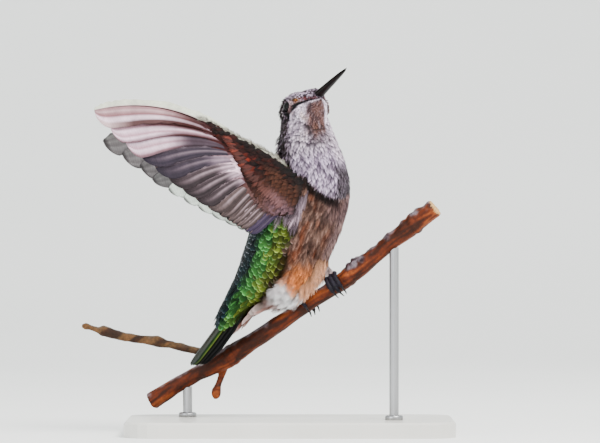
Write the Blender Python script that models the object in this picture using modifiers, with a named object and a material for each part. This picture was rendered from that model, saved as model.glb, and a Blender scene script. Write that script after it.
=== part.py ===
"""A hummingbird with raised wings, perched on a cut length of branch that a plain display stand holds.

Metres, +Z up. The trunk points along +X and upwards, a little towards -Y, and the head turns towards -Y.
The origin is the middle of the underside of the stand's base.
"""

import math

import bmesh
import bpy
import numpy as np
from mathutils import Matrix, Vector

MM = 0.001
GAP = 0.3 * MM  # clearance between solids that meet
UP = Vector((0, 0, 1))

# Directions: pitch is the rise of the axis, yaw its turn from +X towards -Y.
TRUNK_PITCH, TRUNK_YAW = 55.6, 10.0
HEAD_PITCH, HEAD_YAW = 25.0, 61.5

# Body: one station a row, from the tail coverts to the middle of the head, in mm and degrees.
# Centre x and z, half depth from back to belly, half width, pitch of the section's normal.
BODY_X, BODY_Y = 1.8, -2.0
BODY_STATIONS = [
    (-16.9, 27.8, 2.9, 4.2, 56),
    (-15.3, 29.9, 3.6, 4.7, 56),
    (-11.2, 35.1, 5.6, 6.3, 56),
    (-5.6, 38.5, 9.8, 8.4, 56),
    (-2.3, 44.1, 11.2, 9.9, 60),
    (0.8, 51.5, 11.5, 10.4, 66),
    (3.8, 59.0, 11.5, 10.2, 72),
    (5.5, 65.9, 10.8, 9.6, 78),
    (5.3, 71.2, 9.1, 8.6, 87),
    (4.6, 75.4, 7.9, 7.6, 90),
    (4.0, 79.2, 7.0, 6.8, 92),
    (4.1, 82.6, 5.6, 5.6, 90),
]
SECTION_SIDES = 36

# Head: distances in mm along the bill's direction, across it and towards the crown.
HEAD_CENTRE = Vector((4.1, -3.8, 82.4))
HEAD_STATIONS = [  # along, half width, half height, rise of the centre
    (-7.3, 0.6, 0.6, 0.2),
    (-6.6, 2.9, 2.8, 0.2),
    (-4.6, 5.1, 4.9, 0.1),
    (-1.6, 6.2, 5.8, 0.0),
    (1.4, 6.0, 5.5, 0.1),
    (4.2, 4.5, 4.4, 0.5),
    (6.6, 2.8, 3.0, 0.9),
    (8.6, 1.6, 1.9, 1.1),
    (9.4, 1.2, 1.4, 1.1),
]
EYE_ALONG, EYE_RISE, EYE_OUT, EYE_RADIUS = 0.3, 1.3, 4.75, 1.5

BILL_START, BILL_LENGTH, BILL_RISE = 8.2, 15.3, 1.1
BILL_HALF_WIDTH, UPPER_HEIGHT, LOWER_HEIGHT, BILL_PARTING = 1.15, 0.95, 0.7, 0.08

# Wing plan, in mm: u runs from the shoulder to the tip, v from the leading edge to the trailing edge.
PRIMARIES, SECONDARIES = 10, 6
FEATHERS = PRIMARIES + SECONDARIES
WING_SPAN, WING_CHORD = 56.0, 15.4
HAND_TIP, WRIST, ELBOW = (19.5, -5.0), (9.8, 0.0), (2.6, 3.5)
LEADING_BOW = 9.0  # how far the outermost feather's curve is drawn forwards
BLADE_THICKNESS = 0.5
PRIMARY_ROWS = (0.0, 0.3, 0.62, 0.9, 1.0)  # places of the sheet's rows along each bare feather
SECONDARY_ROWS = (0.0, 0.4, 0.85, 1.0)
TIP_NOTCH, TIP_SHOULDER = 0.93, 0.98
VANE_EDGE = 0.9
WING_CAMBER = 1.3
SECONDARY_TIP = 14.2
SECONDARY_STEP = 1.26
ARM_EDGE = [  # u, leading v, trailing v of the coverts, half thickness
    (0.5, -2.6, 8.0, 1.9),
    (3.0, -3.7, 8.6, 1.9),
    (6.5, -5.0, 8.2, 1.7),
    (10.0, -5.8, 6.6, 1.4),
    (13.5, -6.1, 3.6, 1.1),
    (17.0, -6.5, 0.2, 0.9),
    (21.0, -6.9, -3.2, 0.75),
    (24.5, -7.25, -4.6, 0.6),
    (27.0, -7.5, -6.1, 0.45),
]
WINGS = {  # origin in mm, direction of the span, direction of the chord
    "right": ((2.6, -12.0, 62.6), (-0.933, -0.012, 0.359), (-0.344, 0.0, -0.939)),
    "left": ((5.6, 7.5, 62.6), (-0.942, 0.225, 0.235), (-0.25, 0.13, -0.965)),
}

TAIL_BASE, TAIL_TIP = (-15.9, 28.8), (-24.5, 17.7)
TAIL_ROLL = 30.0
TAIL_STATIONS = [  # share of the length, half width, half thickness
    (0, 3.9, 1.6),
    (0.3, 4.7, 1.4),
    (0.62, 4.8, 1.05),
    (0.86, 4.0, 0.75),
    (1.0, 2.2, 0.4),
]

# Branch centreline: x, z, radius in mm. Its depth follows from its own yaw.
BRANCH_YAW, BRANCH_X, BRANCH_Y = -20.0, 9.0, -2.5
BRANCH_STATIONS = [
    (-35.9, 7.9, 2.35),
    (-30.0, 11.7, 2.15),
    (-24.1, 15.1, 1.9),
    (-19.5, 17.6, 2.3),
    (-15.9, 19.5, 2.75),
    (-12.8, 21.6, 2.5),
    (-9.5, 23.8, 2.2),
    (-0.5, 29.9, 2.0),
    (5.1, 33.8, 1.9),
    (11.0, 37.5, 1.95),
    (14.3, 39.9, 2.35),
    (18.7, 43.3, 2.2),
    (23.8, 47.7, 2.0),
    (27.4, 50.6, 2.1),
    (31.6, 53.9, 2.55),
    (33.6, 55.4, 2.35),
    (36.8, 57.9, 2.15),
]
BRANCH_SIDES = 11
TWIG = [  # x, y, z, radius
    (-15.5, 9.5, 19.8, 1.4),
    (-19.5, 11.6, 20.4, 1.05),
    (-24.4, 12.8, 21.0, 0.95),
    (-32.5, 13.9, 22.9, 1.05),
    (-34.4, 14.1, 23.4, 1.5),
    (-36.5, 14.3, 23.6, 1.2),
    (-42.5, 14.9, 24.5, 1.1),
    (-47.2, 15.3, 25.7, 1.35),
    (-48.8, 15.4, 26.1, 1.45),
    (-49.9, 15.5, 26.3, 0.75),
    (-52.0, 15.7, 27.0, 0.7),
    (-53.2, 15.8, 27.3, 1.0),
    (-54.2, 15.9, 27.5, 0.5),
]
STUB = [
    (-16.5, 9.0, 18.5, 1.1),
    (-17.6, 8.6, 15.0, 0.85),
    (-18.5, 8.3, 12.3, 0.8),
    (-19.0, 8.1, 10.6, 1.25),
    (-19.2, 8.0, 9.4, 1.2),
    (-19.3, 8.0, 8.6, 0.5),
]

# Feet: place along the branch (x of its centreline), side that the front toes pass (-1 is towards -Y).
FEET = {"right": (12.2, -1), "left": (4.5, 1)}
TOE_RADIUS, CLAW_RADIUS = 0.48, 0.28
TOE_SPREAD = 1.3  # distance between front toes along the branch
TARSUS_RADIUS = 0.55
TOE_POINTS = 8
BELLY_CLEARANCE = 1.7 * MM  # room for the toes between belly and bark

BASE_SIZE = (84.0, 54.0, 4.0)
BASE_CORNER, BASE_EDGE = 9.0, 0.6
ROD_RADIUS, ROD_SOCKET = 1.2, 2.0
RODS = {"left": -26.5, "right": 26.5}

COLOURS = {  # base colour, roughness, metallic
    "plumage_green": ((0.07, 0.16, 0.05), 0.4, 0.4),
    "plumage_grey": ((0.30, 0.26, 0.27), 0.8, 0.0),
    "wing": ((0.16, 0.12, 0.13), 0.5, 0.0),
    "bill": ((0.012, 0.01, 0.01), 0.35, 0.0),
    "eye": ((0.008, 0.007, 0.007), 0.05, 0.0),
    "foot": ((0.03, 0.025, 0.028), 0.6, 0.0),
    "bark": ((0.20, 0.075, 0.03), 0.7, 0.0),
    "stand_base": ((0.55, 0.53, 0.5), 0.5, 0.0),
    "stand_metal": ((0.35, 0.35, 0.36), 0.3, 1.0),
}


def clear_scene():
    for obj in list(bpy.data.objects):
        bpy.data.objects.remove(obj)


def directions(pitch, yaw):
    """Forward, right-hand and dorsal directions of a body part from its pitch and yaw."""
    pitch, yaw = math.radians(pitch), math.radians(yaw)
    level = Vector((math.cos(yaw), -math.sin(yaw), 0))
    forward = level * math.cos(pitch) + UP * math.sin(pitch)
    dorsal = UP * math.cos(pitch) - level * math.sin(pitch)
    return forward, forward.cross(dorsal), dorsal


def resample(rows, pieces):
    """A smooth run through rows of numbers, with the given count of pieces between neighbours."""
    rows = np.array(rows, float)
    padded = np.vstack([2 * rows[0] - rows[1], rows, 2 * rows[-1] - rows[-2]])
    steps = np.sqrt(np.maximum(np.linalg.norm(np.diff(padded[:, :2], axis=0), axis=1), 1e-9))
    knots = np.concatenate([[0], np.cumsum(steps)])
    made = []
    for i in range(1, len(rows)):
        p, k = padded[i - 1 : i + 3], knots[i - 1 : i + 3]
        for t in np.linspace(k[1], k[2], pieces, endpoint=False):
            a = [p[j] + (p[j + 1] - p[j]) * (t - k[j]) / (k[j + 1] - k[j]) for j in range(3)]
            b = [a[j] + (a[j + 1] - a[j]) * (t - k[j]) / (k[j + 2] - k[j]) for j in range(2)]
            made.append(b[0] + (b[1] - b[0]) * (t - k[1]) / (k[2] - k[1]))
    made.append(rows[-1])
    return np.array(made)


def add_object(name, bm_or_mesh, collection="bird"):
    if isinstance(bm_or_mesh, bmesh.types.BMesh):
        mesh = bpy.data.meshes.new(name)
        bmesh.ops.recalc_face_normals(bm_or_mesh, faces=bm_or_mesh.faces)
        bm_or_mesh.to_mesh(mesh)
        bm_or_mesh.free()
    else:
        mesh = bm_or_mesh
    obj = bpy.data.objects.new(name, mesh)
    bpy.data.collections[collection].objects.link(obj)
    return obj


def bridge_rings(bm, rings):
    """Quads between neighbouring rings of vertices, and a face over each end."""
    for low, high in zip(rings, rings[1:]):
        count = len(low)
        for i in range(count):
            j = (i + 1) % count
            bm.faces.new((low[i], low[j], high[j], high[i]))
    bm.faces.new(rings[0][::-1])
    bm.faces.new(rings[-1])


def loft(name, sections, sides, collection="bird"):
    """Joins elliptical sections. Each is a centre and two axes, with the axes' lengths as radii."""
    bm = bmesh.new()
    rings = []
    for centre, first, second in sections:
        angles = [2 * math.pi * i / sides for i in range(sides)]
        rings.append([bm.verts.new(centre + first * math.cos(a) + second * math.sin(a)) for a in angles])
    bridge_rings(bm, rings)
    return add_object(name, bm, collection)


def tube(name, rows, sides, collection="bird"):
    """A solid of round sections along rows of x, y, z and radius in mm, with rounded ends."""
    rows = np.array(rows, float) * MM
    sections = []
    for i, row in enumerate(rows):
        along = Vector(rows[min(i + 1, len(rows) - 1)][:3] - rows[max(i - 1, 0)][:3]).normalized()
        side = along.cross(UP if abs(along.z) < 0.9 else Vector((1, 0, 0))).normalized()
        sections.append((Vector(row[:3]), side * row[3], along.cross(side) * row[3]))
    return loft(name, sections, sides, collection)


def evaluated_copy(obj, name, collection="bird"):
    """Removes obj and returns its shape, modifiers applied, as a new mesh object."""
    graph = bpy.context.evaluated_depsgraph_get()
    mesh = bpy.data.meshes.new_from_object(obj.evaluated_get(graph))
    mesh.transform(obj.matrix_world)
    bpy.data.objects.remove(obj)
    mesh.name = name
    return add_object(name, mesh, collection)


def helper_copy(obj, swell):
    """A copy of obj grown by swell, kept out of the render, to cut its neighbours with."""
    cutter = bpy.data.objects.new(obj.name + "_cutter", obj.data.copy())
    bm = bmesh.new()
    bm.from_mesh(cutter.data)
    bm.normal_update()
    moves = [(v, v.normal.copy()) for v in bm.verts]
    for vert, normal in moves:
        vert.co += normal * swell
    bm.to_mesh(cutter.data)
    bm.free()
    cutter.hide_render = True
    cutter.display_type = "WIRE"
    bpy.data.collections["cutters"].objects.link(cutter)
    return cutter


def cut(obj, cutter):
    boolean = obj.modifiers.new("cut", "BOOLEAN")
    boolean.operation = "DIFFERENCE"
    boolean.object = cutter
    return obj


def keep_largest(obj):
    """Applies obj's cuts and drops the small pieces that they leave loose."""
    made = evaluated_copy(obj, obj.name)
    bm = bmesh.new()
    bm.from_mesh(made.data)
    bmesh.ops.remove_doubles(bm, verts=bm.verts, dist=0.00001)
    left, islands = set(bm.verts), []
    while left:
        island, todo = set(), [left.pop()]
        while todo:
            vert = todo.pop()
            island.add(vert)
            near = {e.other_vert(vert) for e in vert.link_edges} & left
            left -= near
            todo += near
        islands.append(island)
    largest = max(islands, key=len)
    bmesh.ops.delete(bm, geom=[v for v in bm.verts if v not in largest], context="VERTS")
    bm.to_mesh(made.data)
    bm.free()
    return made


def body_sections():
    sections = []
    for x, z, depth, width, pitch in resample(BODY_STATIONS, 3):
        y = BODY_Y - (x - BODY_X) * math.tan(math.radians(TRUNK_YAW))
        _, right, dorsal = directions(pitch, TRUNK_YAW)
        sections.append((Vector((x, y, z)) * MM, dorsal * depth * MM, right * width * MM))
    return sections


def head_place(along, out, rise):
    """A point of the head in metres, from its place in the head's own directions in mm."""
    forward, right, dorsal = directions(HEAD_PITCH, HEAD_YAW)
    return (HEAD_CENTRE + forward * along + right * out + dorsal * rise) * MM


def head_sections():
    _, right, dorsal = directions(HEAD_PITCH, HEAD_YAW)
    sections = []
    for along, width, height, rise in resample(HEAD_STATIONS, 3):
        sections.append((head_place(along, 0, rise), dorsal * height * MM, right * width * MM))
    return sections


def make_flesh():
    """Trunk, neck and head fused into one smooth form, then parted by thin cuts."""
    whole = loft("whole_body", body_sections(), SECTION_SIDES)
    head = loft("head_form", head_sections(), SECTION_SIDES)
    fuse = whole.modifiers.new("fuse", "BOOLEAN")
    fuse.operation = "UNION"
    fuse.object = head
    remesh = whole.modifiers.new("even", "REMESH")
    remesh.mode = "VOXEL"
    remesh.voxel_size = 0.6 * MM
    smooth = whole.modifiers.new("soften", "SMOOTH")
    smooth.factor, smooth.iterations = 0.5, 10
    lighter = whole.modifiers.new("lighter", "DECIMATE")
    lighter.ratio = 0.066
    body = evaluated_copy(whole, "body")
    bpy.data.objects.remove(head)
    trunk_forward, _, _ = directions(TRUNK_PITCH, TRUNK_YAW)
    planes = [  # a point on the cut in mm, and the direction towards the head
        (Vector((-8.5, 0, 37.0)), trunk_forward),
        (Vector((5.4, 0, 69.5)), directions(84, TRUNK_YAW)[0]),
        (Vector((4.2, 0, 77.6)), directions(96, 40)[0]),
    ]
    pieces = []
    for i, name in enumerate(("rump", "trunk", "neck", "head")):
        bm = bmesh.new()
        bm.from_mesh(body.data)
        if i > 0:
            keep_side(bm, planes[i - 1], 1)
        if i < len(planes):
            keep_side(bm, planes[i], -1)
        pieces.append(add_object(name, bm))
    bpy.data.objects.remove(body)
    return pieces


def keep_side(bm, plane, side):
    """Cuts bm at half the gap from the plane, closes the cut, and keeps one side."""
    point, normal = plane
    normal = normal * side
    bmesh.ops.bisect_plane(
        bm, geom=bm.verts[:] + bm.edges[:] + bm.faces[:], dist=1e-7,
        plane_co=point * MM + normal * GAP / 2, plane_no=normal, clear_inner=True,
    )
    rim = [e for e in bm.edges if e.is_boundary]
    bmesh.ops.holes_fill(bm, edges=rim, sides=0)


def make_eyes(head):
    for side, out in (("right", EYE_OUT), ("left", -EYE_OUT)):
        bm = bmesh.new()
        bmesh.ops.create_uvsphere(bm, u_segments=12, v_segments=8, radius=EYE_RADIUS * MM)
        eye = add_object("eye_" + side, bm)
        eye.data.transform(Matrix.Translation(head_place(EYE_ALONG, out, EYE_RISE)))
        cut(head, helper_copy(eye, 0.15 * MM))


def make_bill(head):
    """Upper and lower mandible: half-round sections that taper to a point, parted by a straight line."""
    forward, right, dorsal = directions(HEAD_PITCH, HEAD_YAW)
    arc = 7
    for name, height, turn in (("bill_upper", UPPER_HEIGHT, 1), ("bill_lower", LOWER_HEIGHT, -1)):
        length = BILL_LENGTH if turn > 0 else BILL_LENGTH - 0.5
        bm = bmesh.new()
        rings = []
        for share in (0, 0.1, 0.25, 0.5, 0.75, 0.93, 1.0):
            slim = (1 - share) ** 0.62 * 0.62 + 0.38 * (1 - share) ** 0.12 if share < 1 else 0.12
            rise = BILL_RISE + BILL_PARTING * turn - 0.25 * share**2
            place = head_place(BILL_START + length * share, 0, rise)
            ring = []
            for i in range(arc):
                angle = math.pi * i / (arc - 1)
                across = right * math.cos(angle) * BILL_HALF_WIDTH * slim
                upward = dorsal * math.sin(angle) * height * turn * slim
                ring.append(bm.verts.new(place + (across + upward) * MM))
            rings.append(ring)
        bridge_rings(bm, rings)
        bill = add_object(name, bm)
        cut(head, helper_copy(bill, 0.15 * MM))


def feather_base(k):
    """Root of flight feather k in the wing's plan; 0 is the outermost primary."""
    if k < PRIMARIES:
        start, end, share = HAND_TIP, WRIST, k / (PRIMARIES - 1)
    else:
        start, end, share = WRIST, ELBOW, (k - PRIMARIES + 1) / SECONDARIES
    return np.array(start) * (1 - share) + np.array(end) * share


def feather_tip(k):
    """Tip of flight feather k: the spacing closes up towards the body."""
    share = k / (FEATHERS - 1)
    u = 3 + (WING_SPAN - 3) * (1 - share) ** 1.5
    if k >= PRIMARIES:
        u = SECONDARY_TIP - SECONDARY_STEP * (k - PRIMARIES)
    return np.array((u, WING_CHORD * (1 - (u / WING_SPAN) ** 1.68)))


def feather_line(k, t):
    """A point on the shaft of feather k, t from 0 at the root to 1 at the tip."""
    base, tip = feather_base(k), feather_tip(k)
    forwards = np.array((tip[1] - base[1], base[0] - tip[0])) / np.linalg.norm(tip - base)
    bow = LEADING_BOW * (1 - k / (FEATHERS - 1)) ** 2.2
    middle = (base + tip) / 2 + forwards * bow
    return base * (1 - t) ** 2 + middle * 2 * t * (1 - t) + tip * t * t


def wing_place(side, plan, lift=0.0):
    """A point of a wing in metres, from its plan in mm; the blade is hollow towards its underside."""
    origin, span, chord = (Vector(v) for v in WINGS[side])
    span = span.normalized()
    chord = (chord - span * chord.dot(span)).normalized()
    upper = chord.cross(span) if side == "left" else span.cross(chord)
    u, v = plan
    camber = WING_CAMBER * (1 - ((v - 3) / 13) ** 2) * min(1, u / 15) - 1.6 * (u / WING_SPAN) ** 2
    return (origin + span * u + chord * v + upper * (camber + lift)) * MM


def border_line(k, t):
    """The line between feathers k and k + 1; past the first and last feather, the edge of the vane."""
    if k < 0:
        away = feather_line(0, t) - feather_line(1, t)
        reach = VANE_EDGE * math.sin(math.pi * t**0.6)
        return feather_line(0, t) + away / max(np.linalg.norm(away), 1e-6) * reach
    if k == FEATHERS - 1:
        return feather_line(k, t) + np.array((-1.0, 0.3)) * min(1, 3 * t)
    return (feather_line(k, t) + feather_line(k + 1, t)) / 2


def make_blade(name, side, first, last):
    """One sheet for flight feathers first to last, each with a rounded tip that stands out of the edge."""
    columns = []
    for k in range(first, last + 1):
        front, back = (lambda t, k=k: border_line(k - 1, t)), (lambda t, k=k: border_line(k, t))
        shaft = lambda t, k=k: feather_line(k, t)
        columns.append((front, front, 0.985 if k == 0 else TIP_NOTCH))
        columns.append((front, shaft, TIP_SHOULDER))
        columns.append((shaft, shaft, 1.0))
        columns.append((shaft, back, TIP_SHOULDER))
    columns.append((back, back, TIP_NOTCH))
    row_places = PRIMARY_ROWS if first == 0 else SECONDARY_ROWS
    bm = bmesh.new()
    sheets = []
    for lift in (BLADE_THICKNESS / 2, -BLADE_THICKNESS / 2):
        sheet = []
        for near, far, end in columns:
            apart = seam_shift(first, last, len(sheet), len(columns))
            line = lambda t: (near(t) + far(t)) / 2 + apart
            start = leaves_coverts(line)
            spots = [line(start + (end - start) * share) for share in row_places]
            sheet.append([bm.verts.new(wing_place(side, spot, lift)) for spot in spots])
        sheets.append(sheet)
    top, bottom = sheets
    count, rows = len(columns), len(row_places)
    for i in range(count - 1):
        for r in range(rows - 1):
            bm.faces.new((top[i][r], top[i + 1][r], top[i + 1][r + 1], top[i][r + 1]))
            bm.faces.new((bottom[i][r], bottom[i][r + 1], bottom[i + 1][r + 1], bottom[i + 1][r]))
        for r in (0, rows - 1):
            bm.faces.new((top[i][r], bottom[i][r], bottom[i + 1][r], top[i + 1][r]))
    for i in (0, count - 1):
        for r in range(rows - 1):
            bm.faces.new((top[i][r], top[i][r + 1], bottom[i][r + 1], bottom[i][r]))
    return add_object(name, bm)


def leaves_coverts(line):
    """Where a feather's line comes out from under the coverts, with the gap added."""
    u_rows, leading, trailing, _ = np.array(ARM_EDGE).T
    for t in np.linspace(0, 1, 401):
        u, v = line(t)
        under = u < u_rows[-1] + 0.35
        if not (under and v < np.interp(u, u_rows, trailing) + 0.4):
            return t
    return 1.0


def seam_shift(first, last, column, count):
    """Opens the gap where the inner blade's first column meets the outer blade's last."""
    if column == 0 and first > 0:
        return np.array((-0.17, 0.0))
    if column == count - 1 and last < FEATHERS - 1:
        return np.array((0.17, 0.0))
    return np.zeros(2)


def make_arm(side):
    """Arm and hand under their coverts: a flat form, thickest at its leading edge."""
    sections = []
    for u, leading, trailing, half in resample(ARM_EDGE, 1):
        middle, reach = (leading + trailing) / 2, (trailing - leading) / 2
        centre = wing_place(side, (u, middle))
        across = wing_place(side, (u, middle + reach)) - centre
        through = (wing_place(side, (u, middle), half) - centre)
        sections.append((centre, across, through))
    return loft("wing_" + side + "_arm", sections, 14)


def make_wing(side, trunk_cutter):
    keep_largest(cut(make_arm(side), trunk_cutter))
    blades = (("primaries", 0, PRIMARIES - 1), ("secondaries", PRIMARIES, FEATHERS - 1))
    for part, first, last in blades:
        make_blade("wing_" + side + "_" + part, side, first, last)


def make_tail(rump):
    """The folded fan of tail feathers, flat and rolled a little, with a blunt end."""
    forward, right, dorsal = directions(TRUNK_PITCH, TRUNK_YAW)
    roll = Matrix.Rotation(math.radians(TAIL_ROLL), 3, forward)
    across, through = roll @ right, roll @ dorsal
    sections = []
    for share, width, depth in TAIL_STATIONS:
        x = TAIL_BASE[0] + (TAIL_TIP[0] - TAIL_BASE[0]) * share
        z = TAIL_BASE[1] + (TAIL_TIP[1] - TAIL_BASE[1]) * share
        y = BODY_Y - (x - BODY_X) * math.tan(math.radians(TRUNK_YAW))
        sections.append((Vector((x, y, z)) * MM, through * depth * MM, across * width * MM))
    tail = loft("tail", sections, 16)
    cut(tail, helper_copy(rump, GAP))
    keep_largest(tail)


def branch_depth(x):
    return BRANCH_Y + (x - BRANCH_X) * math.tan(math.radians(BRANCH_YAW))


def make_perch():
    """The cut branch, with its side twig and stub butted on."""
    rows = [(x, branch_depth(x), z, r) for x, z, r in BRANCH_STATIONS]
    branch = tube("perch_branch", rows, BRANCH_SIDES)
    cutter = helper_copy(branch, GAP)
    for name, path in (("perch_twig", TWIG), ("perch_stub", STUB)):
        side = tube(name, path, 8)
        cut(side, cutter)
        keep_largest(side)
    return branch, cutter


def branch_at(x):
    """Centre, direction and radius of the branch at x in mm."""
    rows = np.array(BRANCH_STATIONS)
    z, radius = (float(np.interp(x, rows[:, 0], rows[:, i])) for i in (1, 2))
    rise = float(np.interp(x + 1, rows[:, 0], rows[:, 1])) - z
    along = Vector((1, branch_depth(x + 1) - branch_depth(x), rise)).normalized()
    return Vector((x, branch_depth(x), z)), along, radius


def toe_points(side, slot, start, end, count):
    """Points of a toe that wraps the branch from angle start to end, in degrees from the branch's top."""
    x, turn = FEET[side]
    centre, along, radius = branch_at(x)
    top = (UP - along * UP.dot(along)).normalized()
    outwards = along.cross(top) * (-1 if turn > 0 else 1)
    if outwards.y * turn < 0:
        outwards = -outwards
    points = []
    for i in range(count):
        share = i / (count - 1)
        angle = math.radians(start + (end - start) * share)
        reach = radius + 0.33 + TOE_RADIUS + 0.1 * (1 - math.cos(math.pi * 4 * share)) / 2
        shift = along * slot * TOE_SPREAD
        points.append(centre + shift + (top * math.cos(angle) + outwards * math.sin(angle)) * reach)
    return points


def make_foot(side, trunk_cutter):
    """Tarsus, three front toes and one hind toe, each with a claw."""
    x, turn = FEET[side]
    centre, along, radius = branch_at(x)
    top = (UP - along * UP.dot(along)).normalized()
    toes = [
        ("front_inner", 1, 20, 118),
        ("front_middle", 0, 20, 132),
        ("front_outer", -1, 20, 118),
        ("hind", 0, -20, -108),
    ]
    for name, slot, start, end in toes:
        points = toe_points(side, slot, start, end, TOE_POINTS)
        radii = [TOE_RADIUS * (1 - 0.3 * i / TOE_POINTS) for i in range(TOE_POINTS)]
        tube("toe_" + side + "_" + name, [(*p, r) for p, r in zip(points, radii)], 6)
        sweep = math.copysign(6, end)
        curl = toe_points(side, slot, end + sweep * 0.6, end + sweep * 6.4, 5)
        claw = []
        for i, point in enumerate(curl):
            share = i / 4
            away = (point - centre - along * (point - centre).dot(along)).normalized()
            claw.append((*(point + away * (0.1 + 0.55 * share**1.5)), CLAW_RADIUS * (1 - 0.75 * share)))
        tube("claw_" + side + "_" + name, claw, 6)
    foot = centre + top * (radius + 0.4 + TOE_RADIUS)
    knee = foot + Vector((-2.6, 0.2 * turn, 5.2))
    shank = []
    for s in np.linspace(0, 1, 6):
        girth = TARSUS_RADIUS * (1.1 - 0.25 * math.sin(math.pi * s))
        shank.append((*(foot * (1 - s) + knee * s), girth))
    leg = tube("leg_" + side, shank, 8)
    for name, *_ in toes:
        cut(leg, helper_copy(bpy.data.objects["toe_" + side + "_" + name], 0.1 * MM))
    cut(leg, trunk_cutter)
    keep_largest(leg)


def make_stand(branch_cutter):
    """A flat base with two rods that stand in sockets and reach up to the branch."""
    length, depth, thickness = BASE_SIZE
    bm = bmesh.new()
    bmesh.ops.create_cube(bm, size=1)
    bmesh.ops.scale(bm, vec=Vector(BASE_SIZE) * MM, verts=bm.verts)
    bmesh.ops.translate(bm, vec=Vector((0, 0, thickness / 2 * MM)), verts=bm.verts)
    upright = [e for e in bm.edges if abs(e.verts[0].co.z - e.verts[1].co.z) > thickness / 2 * MM]
    bmesh.ops.bevel(bm, geom=upright, offset=BASE_CORNER * MM, segments=5, profile=0.5, affect="EDGES")
    rim = [e for e in bm.edges if all(v.co.z > (thickness - 0.01) * MM for v in e.verts)]
    bmesh.ops.bevel(bm, geom=rim, offset=BASE_EDGE * MM, segments=1, profile=0.5, affect="EDGES")
    base = add_object("stand_base", bm)
    for side, x in RODS.items():
        centre, _, _ = branch_at(x)
        low = thickness - ROD_SOCKET
        bm = bmesh.new()
        bmesh.ops.create_cone(
            bm, cap_ends=True, segments=16, radius1=ROD_RADIUS * MM, radius2=ROD_RADIUS * MM,
            depth=(centre.z - low) * MM,
        )
        bmesh.ops.translate(bm, vec=Vector((x, centre.y, (centre.z + low) / 2)) * MM, verts=bm.verts)
        rod = add_object("stand_rod_" + side, bm)
        cut(base, helper_copy(rod, GAP))
        cut(rod, branch_cutter)
        keep_largest(rod)
    keep_largest(base)


def finish(obj, colour):
    """Gives obj its material and shades its curved faces smooth."""
    rgb, roughness, metallic = COLOURS[colour]
    material = bpy.data.materials.get(colour)
    if material is None:
        material = bpy.data.materials.new(colour)
        material.use_nodes = True
        shader = material.node_tree.nodes["Principled BSDF"]
        shader.inputs["Base Color"].default_value = (*rgb, 1)
        shader.inputs["Roughness"].default_value = roughness
        shader.inputs["Metallic"].default_value = metallic
    obj.data.materials.clear()
    obj.data.materials.append(material)
    obj.data.shade_smooth()
    obj.data.set_sharp_from_angle(angle=math.radians(50))


def colour_of(name):
    kinds = {
        "rump": "plumage_green", "tail": "plumage_green", "trunk": "plumage_grey", "neck": "plumage_grey",
        "head": "plumage_grey", "wing": "wing", "bill": "bill", "eye": "eye", "toe": "foot", "claw": "bill",
        "leg": "foot", "perch": "bark", "stand_base": "stand_base", "stand_rod": "stand_metal",
    }
    return next(kinds[start] for start in kinds if name.startswith(start))


def main():
    clear_scene()
    for name in ("bird", "cutters"):
        bpy.context.scene.collection.children.link(bpy.data.collections.new(name))
    branch, branch_cutter = make_perch()
    rump, trunk, neck, head = make_flesh()
    for piece in (rump, trunk):
        cut(piece, helper_copy(branch, BELLY_CLEARANCE))
    rump, trunk = keep_largest(rump), keep_largest(trunk)
    make_eyes(head)
    make_bill(head)
    keep_largest(head)
    trunk_cutter = helper_copy(trunk, GAP)
    for side in WINGS:
        make_wing(side, trunk_cutter)
        make_foot(side, trunk_cutter)
    make_tail(rump)
    make_stand(branch_cutter)
    for obj in bpy.data.collections["bird"].objects:
        finish(obj, colour_of(obj.name))


main()
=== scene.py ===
import math
import bpy
import bmesh
import numpy as np
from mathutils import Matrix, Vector, noise
from mathutils.bvhtree import BVHTree


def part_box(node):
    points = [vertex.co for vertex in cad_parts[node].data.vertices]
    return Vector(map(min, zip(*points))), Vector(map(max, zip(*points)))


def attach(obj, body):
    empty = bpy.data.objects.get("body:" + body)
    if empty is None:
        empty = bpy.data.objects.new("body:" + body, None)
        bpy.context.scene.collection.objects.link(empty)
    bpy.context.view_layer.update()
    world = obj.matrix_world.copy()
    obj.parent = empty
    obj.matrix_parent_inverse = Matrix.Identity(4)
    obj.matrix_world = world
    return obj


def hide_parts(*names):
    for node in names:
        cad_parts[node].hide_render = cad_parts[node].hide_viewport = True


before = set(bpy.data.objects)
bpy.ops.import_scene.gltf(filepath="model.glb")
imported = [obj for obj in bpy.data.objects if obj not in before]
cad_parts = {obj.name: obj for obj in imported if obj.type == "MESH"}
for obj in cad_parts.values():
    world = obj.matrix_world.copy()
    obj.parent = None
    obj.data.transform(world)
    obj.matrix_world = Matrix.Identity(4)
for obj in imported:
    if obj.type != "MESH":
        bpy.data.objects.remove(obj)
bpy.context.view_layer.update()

mm = 0.001
rng = np.random.default_rng(11)
up = np.array((0.0, 0.0, 1.0))
bothSides = (("right", 1), ("left", -1))


def unit(v):
    v = np.asarray(v, float)
    return v / np.maximum(np.linalg.norm(v, axis=-1, keepdims=True), 1e-12)


def dot(a, b):
    return np.sum(np.asarray(a) * np.asarray(b), axis=-1)


def ramp(x, low, high):
    # smooth rise from 0 at low to 1 at high
    t = np.clip((np.asarray(x, float) - low) / (high - low), 0, 1)
    return t * t * (3 - 2 * t)


def band(x, low, high, soft):
    # 1 between low and high, 0 outside, with soft edges
    return ramp(x, low - soft, low + soft) * (1 - ramp(x, high - soft, high + soft))


def lerp(a, b, t):
    return np.asarray(a) * (1 - np.asarray(t)[..., None]) + np.asarray(b) * np.asarray(t)[..., None]


def middle(points):
    # middle of the box round the points
    return (points.min(0) + points.max(0)) / 2


def squareTo(v, axis):
    # what is left of a direction once the part along the axis is taken out
    return v - axis * dot(v, axis)[..., None]


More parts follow.
